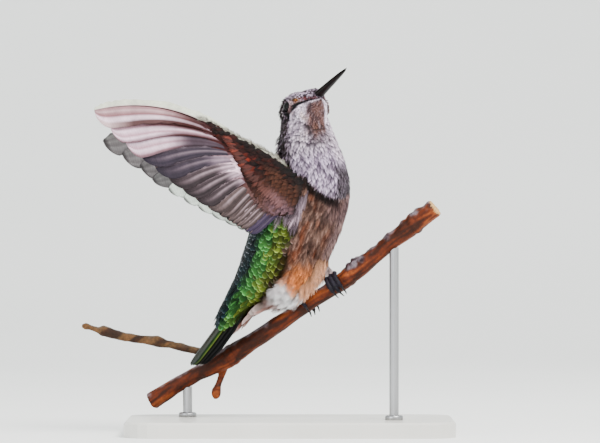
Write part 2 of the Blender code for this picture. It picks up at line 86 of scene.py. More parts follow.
def rgb(r, g, b):
    # a colour as painters mix it, 0 to 255, turned into linear light
    c = np.array((r, g, b)) / 255
    return np.where(c <= 0.04045, c / 12.92, ((c + 0.055) / 1.055) ** 2.4)


def speckle(points, scale, seed=0.0):
    # smooth random value from -1 to 1 at each point
    shift = Vector((seed * 3.7, seed * 1.3, seed * 7.1))
    return np.array([noise.noise(Vector(p) * scale + shift) for p in points]) * 1.6


def smoothCurve(points, steps):
    padded = np.vstack([2 * points[0] - points[1], points, 2 * points[-1] - points[-2]])
    made = []
    for i in range(1, len(padded) - 2):
        a, b, c, d = padded[i - 1:i + 3]
        for t in np.arange(steps) / steps:
            made.append(0.5 * (2 * b + (c - a) * t + (2 * a - 5 * b + 4 * c - d) * t * t
                               + (3 * b - a - 3 * c + d) * t ** 3))
    made.append(points[-1])
    return np.array(made)


def readPoints(mesh, what="co"):
    flat = np.empty(len(mesh.vertices) * 3, np.float32)
    mesh.vertices.foreach_get(what, flat)
    return flat.reshape(-1, 3).astype(float)


def nodeVerts(name):
    return readPoints(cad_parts[name].data)


def treeOf(verts, faces):
    return BVHTree.FromPolygons([Vector(v) for v in verts], faces)


def addObject(name, data):
    obj = bpy.data.objects.new(name, data)
    bpy.context.scene.collection.objects.link(obj)
    return obj


def makeObject(name, verts, quads, tris=(), smooth=True):
    quads, tris = (np.asarray(f, np.int32).reshape(-1, n) for f, n in ((quads, 4), (tris, 3)))
    mesh = bpy.data.meshes.new(name)
    mesh.vertices.add(len(verts))
    mesh.vertices.foreach_set("co", np.asarray(verts, np.float32).ravel())
    loops = np.concatenate([quads.ravel(), tris.ravel()])
    mesh.loops.add(len(loops))
    mesh.loops.foreach_set("vertex_index", loops)
    starts = np.concatenate([np.arange(len(quads)) * 4, len(quads) * 4 + np.arange(len(tris)) * 3])
    mesh.polygons.add(len(starts))
    mesh.polygons.foreach_set("loop_start", starts.astype(np.int32))
    mesh.update(calc_edges=True)
    if smooth:
        mesh.shade_smooth()
    return addObject(name, mesh)


def objectFrom(name, verts, faces):
    return makeObject(name, verts, [f for f in faces if len(f) == 4], [f for f in faces if len(f) == 3])


def addTint(obj, tint):
    layer = obj.data.attributes.new("tint", "FLOAT_COLOR", "POINT")
    # paint is deepened, so that darks stay dark in the bright soft light
    full = np.ones((len(tint), 4), np.float32)
    full[:, :3] = np.clip(tint, 0, 1) ** 1.35
    layer.data.foreach_set("color", full.ravel())


def addPaint(obj, tint, vane, spots):
    # for each vertex its colour, its place on the vane with its gloss, and its spot on the bake map
    addTint(obj, tint)
    layer = obj.data.attributes.new("vane", "FLOAT_VECTOR", "POINT")
    layer.data.foreach_set("vector", np.asarray(vane, np.float32).ravel())
    layer = obj.data.uv_layers.new(name="OFBake")
    index = np.empty(len(obj.data.loops), np.int32)
    obj.data.loops.foreach_get("vertex_index", index)
    layer.data.foreach_set("uv", np.asarray(spots, np.float32)[index].ravel())


def finishPiece(piece, material, slotName, *nodes):
    piece.data.materials.append(material)
    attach(piece, "root")
    if nodes:
        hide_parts(*nodes)


def fuseNodes(name, nodes, swell, voxel, smoothing):
    # joins CAD nodes into one even skin: each is swollen to close the gaps, then all are remeshed
    bm = bmesh.new()
    for node in nodes:
        part = bmesh.new()
        part.from_mesh(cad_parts[node].data)
        bmesh.ops.remove_doubles(part, verts=part.verts, dist=1e-6)
        part.normal_update()
        for v, way in [(v, v.normal.copy()) for v in part.verts]:
            v.co += way * swell
        mesh = bpy.data.meshes.new("part")
        part.to_mesh(mesh)
        part.free()
        bm.from_mesh(mesh)
        bpy.data.meshes.remove(mesh)
    mesh = bpy.data.meshes.new(name)
    bm.to_mesh(mesh)
    bm.free()
    obj = addObject(name, mesh)
    remesh = obj.modifiers.new("even", "REMESH")
    remesh.mode = "VOXEL"
    remesh.voxel_size = voxel
    soften = obj.modifiers.new("soften", "SMOOTH")
    soften.factor, soften.iterations = 0.5, smoothing
    graph = bpy.context.evaluated_depsgraph_get()
    mesh = bpy.data.meshes.new_from_object(obj.evaluated_get(graph))
    verts, normals = readPoints(mesh), readPoints(mesh, "normal")
    faces = [tuple(p.vertices) for p in mesh.polygons]
    bpy.data.meshes.remove(mesh)
    bpy.data.objects.remove(obj)
    return verts, faces, normals


def tubeMesh(path, radii, sides=6):
    # rings of vertices along a path, closed at each end by a fan
    tangent = unit(np.gradient(path, axis=0))
    sideways = unit(np.cross(tangent, np.array((0.13, 0.21, 0.97))))
    through = np.cross(tangent, sideways)
    angle = np.arange(sides) * 2 * math.pi / sides
    rings = (path[:, None] + sideways[:, None] * (np.cos(angle)[None, :, None] * radii[:, None, None])
             + through[:, None] * (np.sin(angle)[None, :, None] * radii[:, None, None]))
    steps = [(j, (j + 1) % sides) for j in range(sides)]
    last = (len(path) - 1) * sides
    quads = [(i + a, i + b, i + b + sides, i + a + sides) for i in range(0, last, sides) for a, b in steps]
    tris = [(b, a, last + sides) for a, b in steps]
    tris += [(last + a, last + b, last + sides + 1) for a, b in steps]
    return np.vstack([rings.reshape(-1, 3), path[0], path[-1]]), quads, tris


def joinMeshes(parts):
    verts, quads, tris, base = [], [], [], 0
    for v, q, t in parts:
        verts.append(v)
        quads.append(np.reshape(q, (-1, 4)) + base)
        tris.append(np.reshape(t, (-1, 3)) + base)
        base += len(v)
    return np.vstack(verts), np.vstack(quads), np.vstack(tris)


def sheetFaces(rows, columns):
    # faces of a thin closed sheet: a grid above, the same grid below and a rim between
    quads, n = [], rows * columns
    for a in (i * columns + j for i in range(rows - 1) for j in range(columns - 1)):
        b = a + columns
        quads += [(a, a + 1, b + 1, b), (n + a, n + b, n + b + 1, n + a + 1)]
    rim = list(range(columns)) + [i * columns + columns - 1 for i in range(1, rows)]
    rim += [(rows - 1) * columns + j for j in range(columns - 2, -1, -1)]
    rim += [i * columns for i in range(rows - 2, 0, -1)]
    quads += [(b, a, n + a, n + b) for a, b in zip(rim, rim[1:] + rim[:1])]
    return np.array(quads)


def newMaterial(name):
    material = bpy.data.materials.new(name)
    material.use_nodes = True
    tree = material.node_tree
    return material, tree, tree.nodes["Principled BSDF"]


def setSockets(tree, node, sockets):
    # each socket takes a number, a colour or a link from another node
    for key, value in sockets.items():
        socket = node.inputs[key]
        if isinstance(value, bpy.types.NodeSocket):
            tree.links.new(value, socket)
        else:
            socket.default_value = value


def addNode(tree, kind, sockets, settings=None):
    node = tree.nodes.new("ShaderNode" + kind)
    for key, value in (settings or {}).items():
        setattr(node, key, value)
    setSockets(tree, node, sockets)
    return node.outputs


def mathNode(tree, operation, *values):
    return addNode(tree, "Math", dict(enumerate(values)), {"operation": operation})[0]


def paintNode(tree, name="tint", output="Color"):
    return addNode(tree, "Attribute", {}, {"attribute_name": name})[output]


def noiseNode(tree, scale, detail=3.0, rough=0.55, stretch=None):
    coords = addNode(tree, "TexCoord", {})["Object"]
    if stretch:
        coords = addNode(tree, "Mapping", {"Vector": coords, "Scale": stretch})[0]
    sockets = {"Vector": coords, "Scale": scale, "Detail": detail, "Roughness": rough}
    return addNode(tree, "TexNoise", sockets)["Fac"]


def rampNode(tree, value, low, high, fromLow=0.0, fromHigh=1.0):
    return addNode(tree, "MapRange", {"Value": value, "From Min": fromLow, "From Max": fromHigh,
                                      "To Min": low, "To Max": high})["Result"]


def scaledColour(tree, colour, factor):
    # multiplies a colour by a grey value
    return addNode(tree, "VectorMath", {0: colour, "Scale": factor}, {"operation": "SCALE"})[0]


def bumpNode(tree, height, strength, distance):
    return addNode(tree, "Bump", {"Height": height, "Strength": strength, "Distance": distance})[0]


def plumageMaterial(name, roughness, barbs, barbDepth, mottle, gloss=0.0):
    # colour from the tint painted on each feather, fine barbs across the vane
    material, tree, shader = newMaterial(name)
    vane = addNode(tree, "SeparateXYZ", {"Vector": paintNode(tree, "vane", "Vector")})
    slant = mathNode(tree, "MULTIPLY_ADD", mathNode(tree, "ABSOLUTE", vane[1]), -0.55, vane[0])
    wave = mathNode(tree, "SINE", mathNode(tree, "MULTIPLY", slant, barbs * 3.14))
    ridge = rampNode(tree, wave, 0.0, 1.0, -1.0, 1.0)
    grain = noiseNode(tree, 1500.0, 2.0)
    shade = mathNode(tree, "MULTIPLY", rampNode(tree, ridge, 0.86, 1.1),
                     rampNode(tree, grain, 1 - mottle, 1 + mottle, 0.25, 0.75))
    height = mathNode(tree, "ADD", ridge, mathNode(tree, "MULTIPLY", grain, 0.5))
    setSockets(tree, shader, {
        "Base Color": scaledColour(tree, paintNode(tree), shade),
        "Roughness": rampNode(tree, grain, roughness - 0.08, roughness + 0.1, 0.3, 0.7),
        "Metallic": mathNode(tree, "MULTIPLY", vane[2], gloss) if gloss else 0.0,
        "Specular IOR Level": 0.12, "Normal": bumpNode(tree, height, 0.6, barbDepth)})
    return material


def plainMaterial(name, colour, roughness, second, scale, depth, stretch=None, metallic=0.0, varnish=0.0,
                  specular=0.5):
    # two tones mixed by noise, fine bumps
    material, tree, shader = newMaterial(name)
    grain = noiseNode(tree, scale, 4.0, stretch=stretch)
    tones = {"Factor": rampNode(tree, grain, 0.0, 1.0, 0.35, 0.65), 6: (*colour, 1), 7: (*second, 1)}
    mixed = addNode(tree, "Mix", tones, {"data_type": "RGBA"})[2]
    setSockets(tree, shader, {
        "Base Color": mixed, "Roughness": rampNode(tree, grain, roughness - 0.05, roughness + 0.07, 0.3, 0.7),
        "Metallic": metallic, "Specular IOR Level": specular, "Normal": bumpNode(tree, grain, 0.5, depth)})
    if varnish:
        setSockets(tree, shader, {"Coat Weight": varnish, "Coat Roughness": 0.05})
    return material


# where the bird's parts are, read from the frame
eyeBox = {side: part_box("eye_" + side) for side, _ in bothSides}
eyeCentre = {side: np.mean(eyeBox[side], axis=0) for side, _ in bothSides}
eyeRadius = (eyeBox["right"][1][2] - eyeBox["right"][0][2]) / 2
eyeMiddle = (eyeCentre["right"] + eyeCentre["left"]) / 2
billVerts = nodeVerts("bill_upper")
billReach = np.linalg.norm(billVerts - eyeMiddle, axis=1)
billRoot = billVerts[billReach < billReach.min() + 1.2 * mm].mean(0)
headForward = unit(billVerts[billReach.argmax()] - billRoot)
headRight = unit(squareTo(eyeCentre["right"] - eyeCentre["left"], headForward))
headUp = np.cross(headRight, headForward)
headCentre = eyeMiddle - headForward * 0.3 * mm - headUp * 1.3 * mm


def seamCentre(a, b):
    # middle of the thin cut between two nodes
    first, second = nodeVerts(a), nodeVerts(b)
    near = np.array([np.min(np.linalg.norm(second - p, axis=1)) for p in first])
    return middle(first[near < 0.5 * mm])


seams = (("trunk", "rump"), ("trunk", "neck"), ("neck", "head"))
seamRump, seamNeck, seamHead = (seamCentre(*pair) for pair in seams)
trunkRight = unit(np.cross(seamNeck - seamRump, up))
fleshVerts = np.vstack([nodeVerts(n) for n in ("rump", "trunk", "neck")])


def slabCentre(point, axis, half):
    # middle of the body in a slab across the axis
    inside = fleshVerts[np.abs(dot(fleshVerts - point, axis)) < half]
    centre = point.copy()
    for direction in (np.cross(trunkRight, axis), trunkRight):
        reach = dot(inside - point, direction)
        centre += direction * (reach.min() + reach.max()) / 2
    return centre


rumpVerts = nodeVerts("rump")
rumpAxis = unit(seamNeck - seamRump)
rumpReach = dot(rumpVerts, rumpAxis)
tailRoot = middle(rumpVerts[rumpReach < rumpReach.min() + 2.5 * mm])
spineKnots = [tailRoot]
for start, end, axis, shares in ((tailRoot, seamRump, unit(seamRump - tailRoot), (0.55, 1.0)),
                                 (seamRump, seamNeck, rumpAxis, (0.25, 0.5, 0.75, 1.0))):
    spineKnots += [slabCentre(start * (1 - share) + end * share, axis, 1.5 * mm) for share in shares]
spine = smoothCurve(spineKnots + [seamHead, headCentre], 24)
spineRun = np.concatenate([[0], np.cumsum(np.linalg.norm(np.diff(spine, axis=0), axis=1))])
spineAxis = unit(np.gradient(spine, axis=0))
runRump, runNeck, runHead = (spineRun[np.linalg.norm(spine - seam, axis=1).argmin()]
                             for seam in (seamRump, seamNeck, seamHead))
runEnd = spineRun[-1]
spineRight = unit(squareTo(lerp(trunkRight, headRight, ramp(spineRun, runNeck - 4 * mm, runEnd)), spineAxis))
spineBack = np.cross(spineRight, spineAxis)
bodyLong = unit(spine[-1] - spine[0])
neckAxis = unit(headCentre - seamHead)
print("frame read: spine %.1f mm, seams at %.1f, %.1f, %.1f" % tuple(
    run / mm for run in (runEnd, runRump, runNeck, runHead)))


def bodyPlace(points):
    # run along the spine in metres, angle from the back in degrees with the right side positive,
    # and the place in the spine's list
    index = np.empty(len(points), int)
    for i in range(0, len(points), 4000):
        index[i:i + 4000] = np.linalg.norm(points[i:i + 4000, None] - spine[None], axis=2).argmin(1)
    away = points - spine[index]
    angle = np.degrees(np.arctan2(dot(away, spineRight[index]), dot(away, spineBack[index])))
    return spineRun[index], angle, index


def headPlace(points):
    # angle from the bill's direction, angle round it from the crown
    away = points - headCentre
    distance = np.maximum(np.linalg.norm(away, axis=1), 1e-9)
    fromBill = np.degrees(np.arccos(np.clip(dot(away, headForward) / distance, -1, 1)))
    return fromBill, np.degrees(np.arctan2(dot(away, headRight), dot(away, headUp)))


def eyePlace(points, side, sign):
    # height out from the eye's middle, the way out from its axis, and how far that is
    away = points - eyeCentre[side]
    high = dot(away, headRight * sign)
    flat = away - headRight * sign * high[:, None]
    return high, flat, np.linalg.norm(flat, axis=1)


def headShare(points):
    # 1 on the head, 0 on the body, blended over the top of the neck
    return ramp(dot(points - seamHead, neckAxis), -2.5 * mm, 2.0 * mm)


def lieAt(points, normals):
    # direction the plumage points: back from the bill over the head, then towards the tail
    overHead = unit(points - (billRoot + headForward * 2 * mm))
    return unit(squareTo(lerp(-spineAxis[bodyPlace(points)[2]], overHead, headShare(points)), normals))


coat = {"depth": 0.9 * mm, "voxel": 0.40 * mm, "swell": 0.25 * mm, "smoothing": 6, "fuller": 0.6 * mm,
        "lidHeight": 0.60 * mm, "lidReach": 2.9 * mm, "opening": 1.32 * mm}
flesh = ("rump", "trunk", "neck", "head")
skinVerts, skinFaces, skinNormals = fuseNodes("skin", flesh, coat["swell"], coat["voxel"], coat["smoothing"])
thinAtFace = 1 - 0.45 * ramp(dot(skinVerts - headCentre, headForward), 1 * mm, 6 * mm)
skinVerts = skinVerts - skinNormals * ((coat["depth"] + coat["swell"]) * thinAtFace)[:, None]
# the back of the head is full behind the eyes
fromBill, around = headPlace(skinVerts)
full = ramp(fromBill, 70, 88) * (1 - ramp(fromBill, 125, 155)) * (1 - ramp(np.abs(around), 68, 96))
skinVerts = skinVerts + skinNormals * (coat["fuller"] * (full * headShare(skinVerts)))[:, None]
for side, sign in bothSides:
    # the skin rises round the eyeball like a lid and drops inside it
    outward = headRight * sign
    high, _, flat = eyePlace(skinVerts, side, sign)
    ringed = (high > -1.2 * mm) & (flat < coat["lidReach"])
    wanted = coat["lidHeight"] - 0.6 * mm * ramp(flat, 1.42 * mm, 3.0 * mm)
    raised = ringed & (flat >= coat["opening"]) & (high < wanted)
    skinVerts[raised] += outward * (wanted - high)[raised][:, None]
    inside = ringed & (flat < coat["opening"])
    skinVerts[inside] -= outward * (high[inside] + 0.3 * mm)[:, None]
skinTree = treeOf(skinVerts, skinFaces)
print("skin made: %d faces" % len(skinFaces))

hue = {
    "backTeal": rgb(32, 54, 58), "green": rgb(82, 134, 76), "moss": rgb(128, 132, 56),
    "olive": rgb(62, 48, 18), "rufous": rgb(160, 88, 42), "orange": rgb(238, 160, 104),
    "flank": rgb(172, 142, 130), "flankDark": rgb(84, 60, 54), "belly": rgb(170, 148, 150),
    "vent": rgb(250, 244, 246), "underTail": rgb(140, 106, 98), "breast": rgb(120, 100, 106),
    "bib": rgb(212, 196, 218), "creaseShadow": rgb(30, 20, 22), "throat": rgb(226, 212, 226),
    "throatSpot": rgb(92, 74, 96), "farThroat": rgb(238, 222, 238), "chin": rgb(114, 78, 66),
    "chinDark": rgb(58, 34, 34), "dusky": rgb(70, 62, 64), "mask": rgb(20, 14, 24), "band": rgb(58, 40, 44),
    "lore": rgb(176, 134, 48), "loreRed": rgb(104, 38, 34), "crown": rgb(206, 190, 208),
    "crownDark": rgb(50, 38, 44), "cream": rgb(206, 182, 168), "postEye": rgb(250, 244, 246),
    "eyeArc": rgb(226, 190, 192),
}
# where markings end, each as two rows: the place and the angle or run there
marks = {
    "greenEdge": ([5.3, 9.8, 12.2, 16.7, 20, 25.5, 30.5, 32.9, 35.4, 48],
                  [150, 144, 130, 112, 111, 99, 106, 91, 68, 60]),
    "bibRun": ([87, 97, 112, 132, 150, 163, 171], [3.6, 4.8, 5.9, 6.7, 6.7, 6.3, 5.1]),
    "tealEdge": ([2, 7.4, 11.6, 15.5, 20.8, 35], [81, 77, 62, 57, 54, 52]),
    "napeEdge": ([44, 48, 50, 52.8, 54.3, 56.4, 58.2, 62], [54, 62, 70, 82, 85, 93, 99, 101]),
    "chinFrom": ([10, 23, 36, 57, 68], [92, 103, 125, 146, 156]),
    "chinTo": ([10, 31, 55, 68], [250, 238, 218, 206]),
    "eyeLine": ([21, 33, 51, 65, 84, 96], [78, 81, 82, 88, 92, 102]),
    "lineWide": ([15, 40, 70, 100], [5, 5, 8, 12]),
}


def markAt(name, place):
    return np.interp(place, *marks[name])


def bibRun(turnAbs):
    # lower edge of the pale bib
    return runNeck - markAt("bibRun", turnAbs) * mm


def layered(ground, *coats):
    # lays colours one over another, each with how much of it shows
    tint = hue[ground] if isinstance(ground, str) else ground
    for colour, amount in coats:
        tint = lerp(tint, hue[colour] if isinstance(colour, str) else colour, amount)
    return tint


def backTint(turnAbs, run, edge, soft, fine):
    # dark teal ridge, green, moss, then olive where it meets the flank
    return layered("backTeal", ("green", ramp(turnAbs - markAt("tealEdge", run / mm) + 5 * soft, -12, 8)),
                   ("moss", 0.8 * ramp(turnAbs / edge + 0.1 * fine, 0.62, 0.82)),
                   ("olive", ramp(turnAbs / edge + 0.1 * soft, 0.80, 0.96)))


def throatTint(angle, turnAbs, run, litFarTint, soft, fine):
    # pale bib and throat, dusky down the middle, with painted light making the far side paler
    low = 0.65 * band(turnAbs, 120, 175, 14) * band(run, runNeck + 3.5 * mm, runHead + 3 * mm, 1.5 * mm)
    dusky = ramp(turnAbs + 6 * soft, 134, 152) * (1 - ramp(run, runNeck - 1.5 * mm, runNeck + 0.5 * mm))
    litFarSide = np.maximum(ramp(-angle, 112, 128), ramp(angle + 5 * fine, 148, 158))
    return layered("bib", ("throat", ramp(run, runNeck, runNeck + 4 * mm)),
                   ("throatSpot", 0.7 * ramp(fine + 0.5 * soft, 0.05, 0.4)),
                   ("chinDark", low * ramp(soft, -0.4, 0.3)), ("dusky", 0.8 * dusky),
                   (litFarTint, 0.95 * litFarSide * ramp(run, runNeck - 0.6 * mm, runNeck + 0.8 * mm)))


def frontTint(drawn, angle, turnAbs, run, edge, litFarTint, wide, soft, fine):
    # flank and belly, vent and undertail, then breast, bib and throat
    orange = band(run + 1.2 * mm * soft, 17.0 * mm, 23.0 * mm, 1.2 * mm)
    orange = orange * band(turnAbs + 8 * fine, 119, 152, 8) * (0.6 + 0.4 * ramp(soft, -0.5, 0.2))
    overBib = run - bibRun(turnAbs)
    return layered(
        "flank", ("flankDark", 0.85 * ramp(fine + 0.4 * wide, -0.15, 0.45)),
        ("flankDark", 0.35 * ramp(speckle(drawn, 2000, 14) + 0.3 * wide, 0.05, 0.5)),
        ("rufous", 0.45 * ramp(soft + 0.5 * wide, 0.1, 0.6) * band(turnAbs, 96, 150, 10)),
        ("belly", 0.6 * ramp(turnAbs + 8 * soft, 150, 172)), ("orange", orange),
        ("vent", (1 - ramp(run + 0.8 * mm * soft, 17.6 * mm, 18.8 * mm)) * ramp(turnAbs, 114, 122)),
        (layered("underTail", ("vent", 0.25 * ramp(fine, -0.2, 0.5))),
         (1 - ramp(run, 12.6 * mm, 14.2 * mm)) * ramp(turnAbs, edge - 4, edge + 4)),
        ("breast", 0.55 * band(overBib, -6 * mm, 0, 1.5 * mm) * ramp(turnAbs + 10 * soft, 112, 140)),
        # painted shadow: a dark band in the crease under the overhanging bib
        ("creaseShadow", 0.9 * band(overBib, -2.2 * mm, 0.3 * mm, 0.6 * mm) * band(turnAbs, 70, 150, 14)),
        (throatTint(angle, turnAbs, run, litFarTint, soft, fine), ramp(overBib, -0.3 * mm, 0.4 * mm)))


def headTint(points, litFarTint, soft, fine):
    # throat and chin, crown, lores and the dark line through the eye, by angle from the bill and round it
    fromBill, around = headPlace(points)
    roundAbs, swing = np.abs(around), np.where(around < 0, around + 360, around)
    chin = (ramp(swing - markAt("chinFrom", fromBill) + 16 * soft, -24, 22)
            * (1 - ramp(swing - markAt("chinTo", fromBill), -8, 4)) * (1 - ramp(fromBill + 4 * soft, 66, 82)))
    streaks = 0.6 * np.sin(np.radians(swing) * 22 + 3 * soft) + 0.9 * fine
    chinShade = 0.85 * ramp(soft + 0.35 * streaks + ramp(fromBill, 30, 80) * 0.4, 0.0, 0.7)
    chinTint = layered("chin", ("throat", 0.35 * ramp(-streaks, 0.3, 1.4)), ("chinDark", chinShade))
    crown = layered("crown", ("crownDark", ramp(speckle(points, 2300, 12) + 0.5 * fine, -0.4, 0.25)))
    loreRed = band(roundAbs, 60, 80, 5) * (1 - ramp(fromBill, 56, 66)) * (0.35 + 0.5 * ramp(fine, -0.3, 0.3))
    lineWide = markAt("lineWide", fromBill)
    line = 1 - ramp(np.abs(roundAbs - markAt("eyeLine", fromBill)), lineWide - 2, lineWide + 3)
    return around, layered(
        "throat", ("throatSpot", 0.55 * ramp(fine + 0.4 * soft, 0.1, 0.5) * ramp(fromBill, 45, 75)),
        ("cream", 0.55 * ramp(0.3 * fine - soft, 0.1, 0.6) * ramp(fromBill, 32, 52)),
        # painted light: the far side under the head is painted paler
        (litFarTint, 0.95 * ramp(-around, 96, 104) * (1 - ramp(-around, 152, 164))),
        (chinTint, 0.9 * chin), (crown, 1 - ramp(roundAbs, 68, 78)),
        ("loreRed", loreRed),
        ("lore", 0.5 * band(roundAbs + 8 * fine, 58, 74, 8) * band(fromBill, 46, 64, 8)),
        (layered("mask", ("band", ramp(fromBill, 96, 116))), line),
        (layered("band", ("crown", 0.4 * ramp(fine, 0.2, 0.6))),
         ramp(fromBill + 3 * fine, 95, 102) * (1 - ramp(roundAbs, 150, 165))))


def eyeSurround(head, points, around):
    for side, sign in bothSides:
        # pale arc of tiny feathers over and before the eye
        _, away, reach = eyePlace(points, side, sign)
        ahead = np.degrees(np.arctan2(dot(away, headUp), dot(away, headForward)))
        # ahead of the eye the feathers root further out and lie back to its rim
        rooted = reach - 0.75 * mm * (1 - ramp(ahead, 10, 50))
        arc = band(rooted, 1.15 * mm, 1.5 * mm, 0.13 * mm) * band(ahead, -66, 120, 10) * (sign * around > 30)
        # a thin white line runs down behind the eye, with a dark edge behind it
        outer, lower = dot(away, unit(headUp - headForward)), dot(away, unit(-headUp - headForward))
        edge = ramp(outer, 1.4 * mm, 1.55 * mm) * band(lower, -1.0 * mm, 4.0 * mm, 0.4 * mm)
        rear = band(outer, 1.0 * mm, 1.35 * mm, 0.12 * mm) * band(lower, -0.4 * mm, 2.9 * mm, 0.4 * mm)
        head = layered(head, ("eyeArc", 0.85 * arc), ("band", 0.85 * edge),
                       ("postEye", 0.85 * (rear * (sign * around > 20))))
    return head


def plumage(points):
    # linear colour, and how glossy and scale-like the plumage is there
    run, angle, _ = bodyPlace(points)
    turnAbs = np.abs(angle)
    # spots are drawn out along the body
    drawn = points - bodyLong * (0.55 * run)[:, None]
    wide, soft, fine = speckle(points, 210, 7), speckle(drawn, 520, 1), speckle(drawn, 1250, 2)
    edge = markAt("greenEdge", run / mm) + 4 * soft
    onBack = 1 - ramp(turnAbs, edge - 4, edge + 4)
    # painted light: the far side of the throat and head is painted paler than the near side, as if more
    # strongly lit
    litFarTint = layered("farThroat", ("throatSpot", 0.6 * ramp(fine + 0.5 * soft, 0.25, 0.6)))
    napeEdge = markAt("napeEdge", run / mm) + 5 * fine
    nape = layered("crownDark", ("band", ramp(turnAbs, 30, 60)),
                   ("crown", 0.6 * ramp(fine, 0.0, 0.45) * ramp(turnAbs, 22, 60)))
    onNape = ramp(run, runNeck - 4 * mm, runNeck) * (1 - ramp(turnAbs, napeEdge - 6, napeEdge + 6))
    body = layered(frontTint(drawn, angle, turnAbs, run, edge, litFarTint, wide, soft, fine),
                   (backTint(turnAbs, run, edge, soft, fine), onBack), (nape, onNape))
    around, head = headTint(points, litFarTint, soft, fine)
    share = headShare(points)
    tint = lerp(body, eyeSurround(head, points, around), share)
    gloss = np.clip(onBack * (1 - share) * (1 - 0.7 * ramp(run, runNeck - 4 * mm, runNeck)), 0, 1)
    return np.clip(tint * (1 + 0.15 * fine)[:, None], 0.004, 0.95), gloss


def bakePlace(points):
    # unwrap of the skin: round the spine and along it
    run, angle, _ = bodyPlace(points)
    fromBill, around = headPlace(points)
    share = headShare(points)
    along = np.where(share > 0.5, 0.70 + 0.25 * (1 - fromBill / 180), 0.04 + 0.62 * run / runHead)
    return np.stack([0.5 + np.where(share > 0.5, around, angle) / 360 * 0.94, along], axis=1)


# feather shapes: x along the shaft from root to tip, y across, z thickness
def closedLeaf(u, v, thick, faces):
    verts = [np.stack([u, v, w], axis=1) for w in (thick, -thick * 0.3 - 0.12)]
    return np.vstack(verts), faces, np.zeros((0, 3), int)


def scaleShape(columns=7, ragged=0.02):
    # a flat, rounded contour feather as one closed leaf, with close rows at its end
    along = np.array([0.0, 0.3, 0.55, 0.70, 0.80, 0.87, 0.925, 0.965, 1.0])
    rows = len(along)
    half = np.where(along < 0.62, 0.4 + 0.6 * ramp(along, 0, 0.62),
                    np.sqrt(np.clip(1 - ((along - 0.62) / 0.385) ** 2, 0, 1)))
    sweep = np.linspace(-1, 1, columns)
    u, v = np.repeat(along, columns), (half[:, None] * sweep[None]).ravel()
    wobble = ragged * np.sin(np.arange(rows * columns) * 2.4) * (u > 0.8)
    thick = np.clip(1 - np.abs(np.tile(sweep, rows)) ** 2, 0, 1) * np.clip(1.15 - u, 0.05, 1)
    # the corner a face starts from sets how it is cut into triangles
    grid, faces = 2 * (rows - 1) * (columns - 1), sheetFaces(rows, columns)[:, ::-1]
    faces = np.vstack([np.roll(faces[:grid], 1, axis=1), np.roll(faces[grid:], 2, axis=1)])
    return closedLeaf(u + wobble, v, thick, faces)


def softShape(columns=9, depth=0.2):
    # a soft contour feather: widest past its middle, its blunt end parted into short barbs
    along = np.array([0.0, 0.22, 0.44, 0.64, 0.80, 0.9, 1.0])
    half = np.array([0.34, 0.68, 0.92, 1.0, 0.92, 0.82, 0.62])
    rows, sweep = len(along), np.linspace(-1, 1, columns)
    u, v = np.repeat(along, columns), (half[:, None] * sweep[None]).ravel()
    step = np.tile(np.arange(columns) % 2, rows) * ramp(u, 0.62, 1.0)
    u = u - 0.26 * np.tile(sweep, rows) ** 2 * ramp(u, 0.3, 1.0) - depth * step
    thick = np.clip(1 - np.tile(sweep, rows) ** 2, 0, 1) * np.clip(1.1 - u, 0.05, 1)
    return closedLeaf(u, v, thick, sheetFaces(rows, columns)[:, ::-1])


def strandShape(strands, spread, stations, width, curlOut=0.0, seed=3):
    # a soft feather: a fan of fine closed barbs, each three-sided and pointed
    local = np.random.default_rng(seed)
    verts, quads, tris, base = [], [], [], 0
    for s in range(strands):
        side = (s + 0.5) / strands * 2 - 1 + local.uniform(-0.12, 0.12)
        reach = 1.0 - 0.28 * side * side - local.uniform(0, 0.22)
        start = local.uniform(0.0, 0.25)
        t = np.linspace(0, 1, stations)
        x = start + (reach - start) * t
        y = side * (0.12 + spread * t ** 0.8) + 0.05 * np.sin(5 * t + s)
        z = 0.5 * (1 - abs(side)) + curlOut * t * t * local.uniform(0.3, 1.0) + local.uniform(-0.2, 0.2)
        w = width * (1 - t ** 2.2) * 0.5 + 0.004
        for i in range(stations - 1):
            verts += [(x[i], y[i] - w[i], z[i]), (x[i], y[i] + w[i], z[i]), (x[i], y[i], z[i] + 1.0)]
        verts.append((x[-1], y[-1], z[-1]))
        last = base + 3 * (stations - 2)
        for i in range(base, last, 3):
            quads += [(i + j, i + (j + 1) % 3, i + (j + 1) % 3 + 3, i + j + 3) for j in range(3)]
        tip = last + 3
        tris += [(last, last + 1, tip), (last + 1, last + 2, tip), (last + 2, last, tip),
                 (base, base + 2, base + 1)]
        base = tip + 1
    return np.array(verts, float), np.array(quads), np.array(tris)


def rowsOnBody(spacing, runLow, runHigh):
    # staggered rings of roots, cast out from the spine onto the skin
    roots, normals = [], []
    for i, run in enumerate(np.arange(runLow, runHigh, spacing * 0.86)):
        index = int(np.abs(spineRun - run).argmin())
        centre = Vector(spine[index] + spineAxis[index] * (run - spineRun[index]))
        hit = skinTree.ray_cast(centre, Vector(spineRight[index]))[0]
        girth = 2 * math.pi * ((hit - centre).length if hit else 6 * mm)
        count = max(8, int(round(girth / spacing)))
        for j in range(count):
            angle = 2 * math.pi * (j + 0.5 * (i % 2) + rng.uniform(-0.1, 0.1)) / count
            direction = spineBack[index] * math.cos(angle) + spineRight[index] * math.sin(angle)
            direction = unit(direction + spineAxis[index] * rng.uniform(-0.06, 0.06))
            hit, normal, _, _ = skinTree.ray_cast(centre, Vector(direction))
            if hit:
                roots.append(hit)
                normals.append(normal)
    return np.array(roots), np.array(normals)


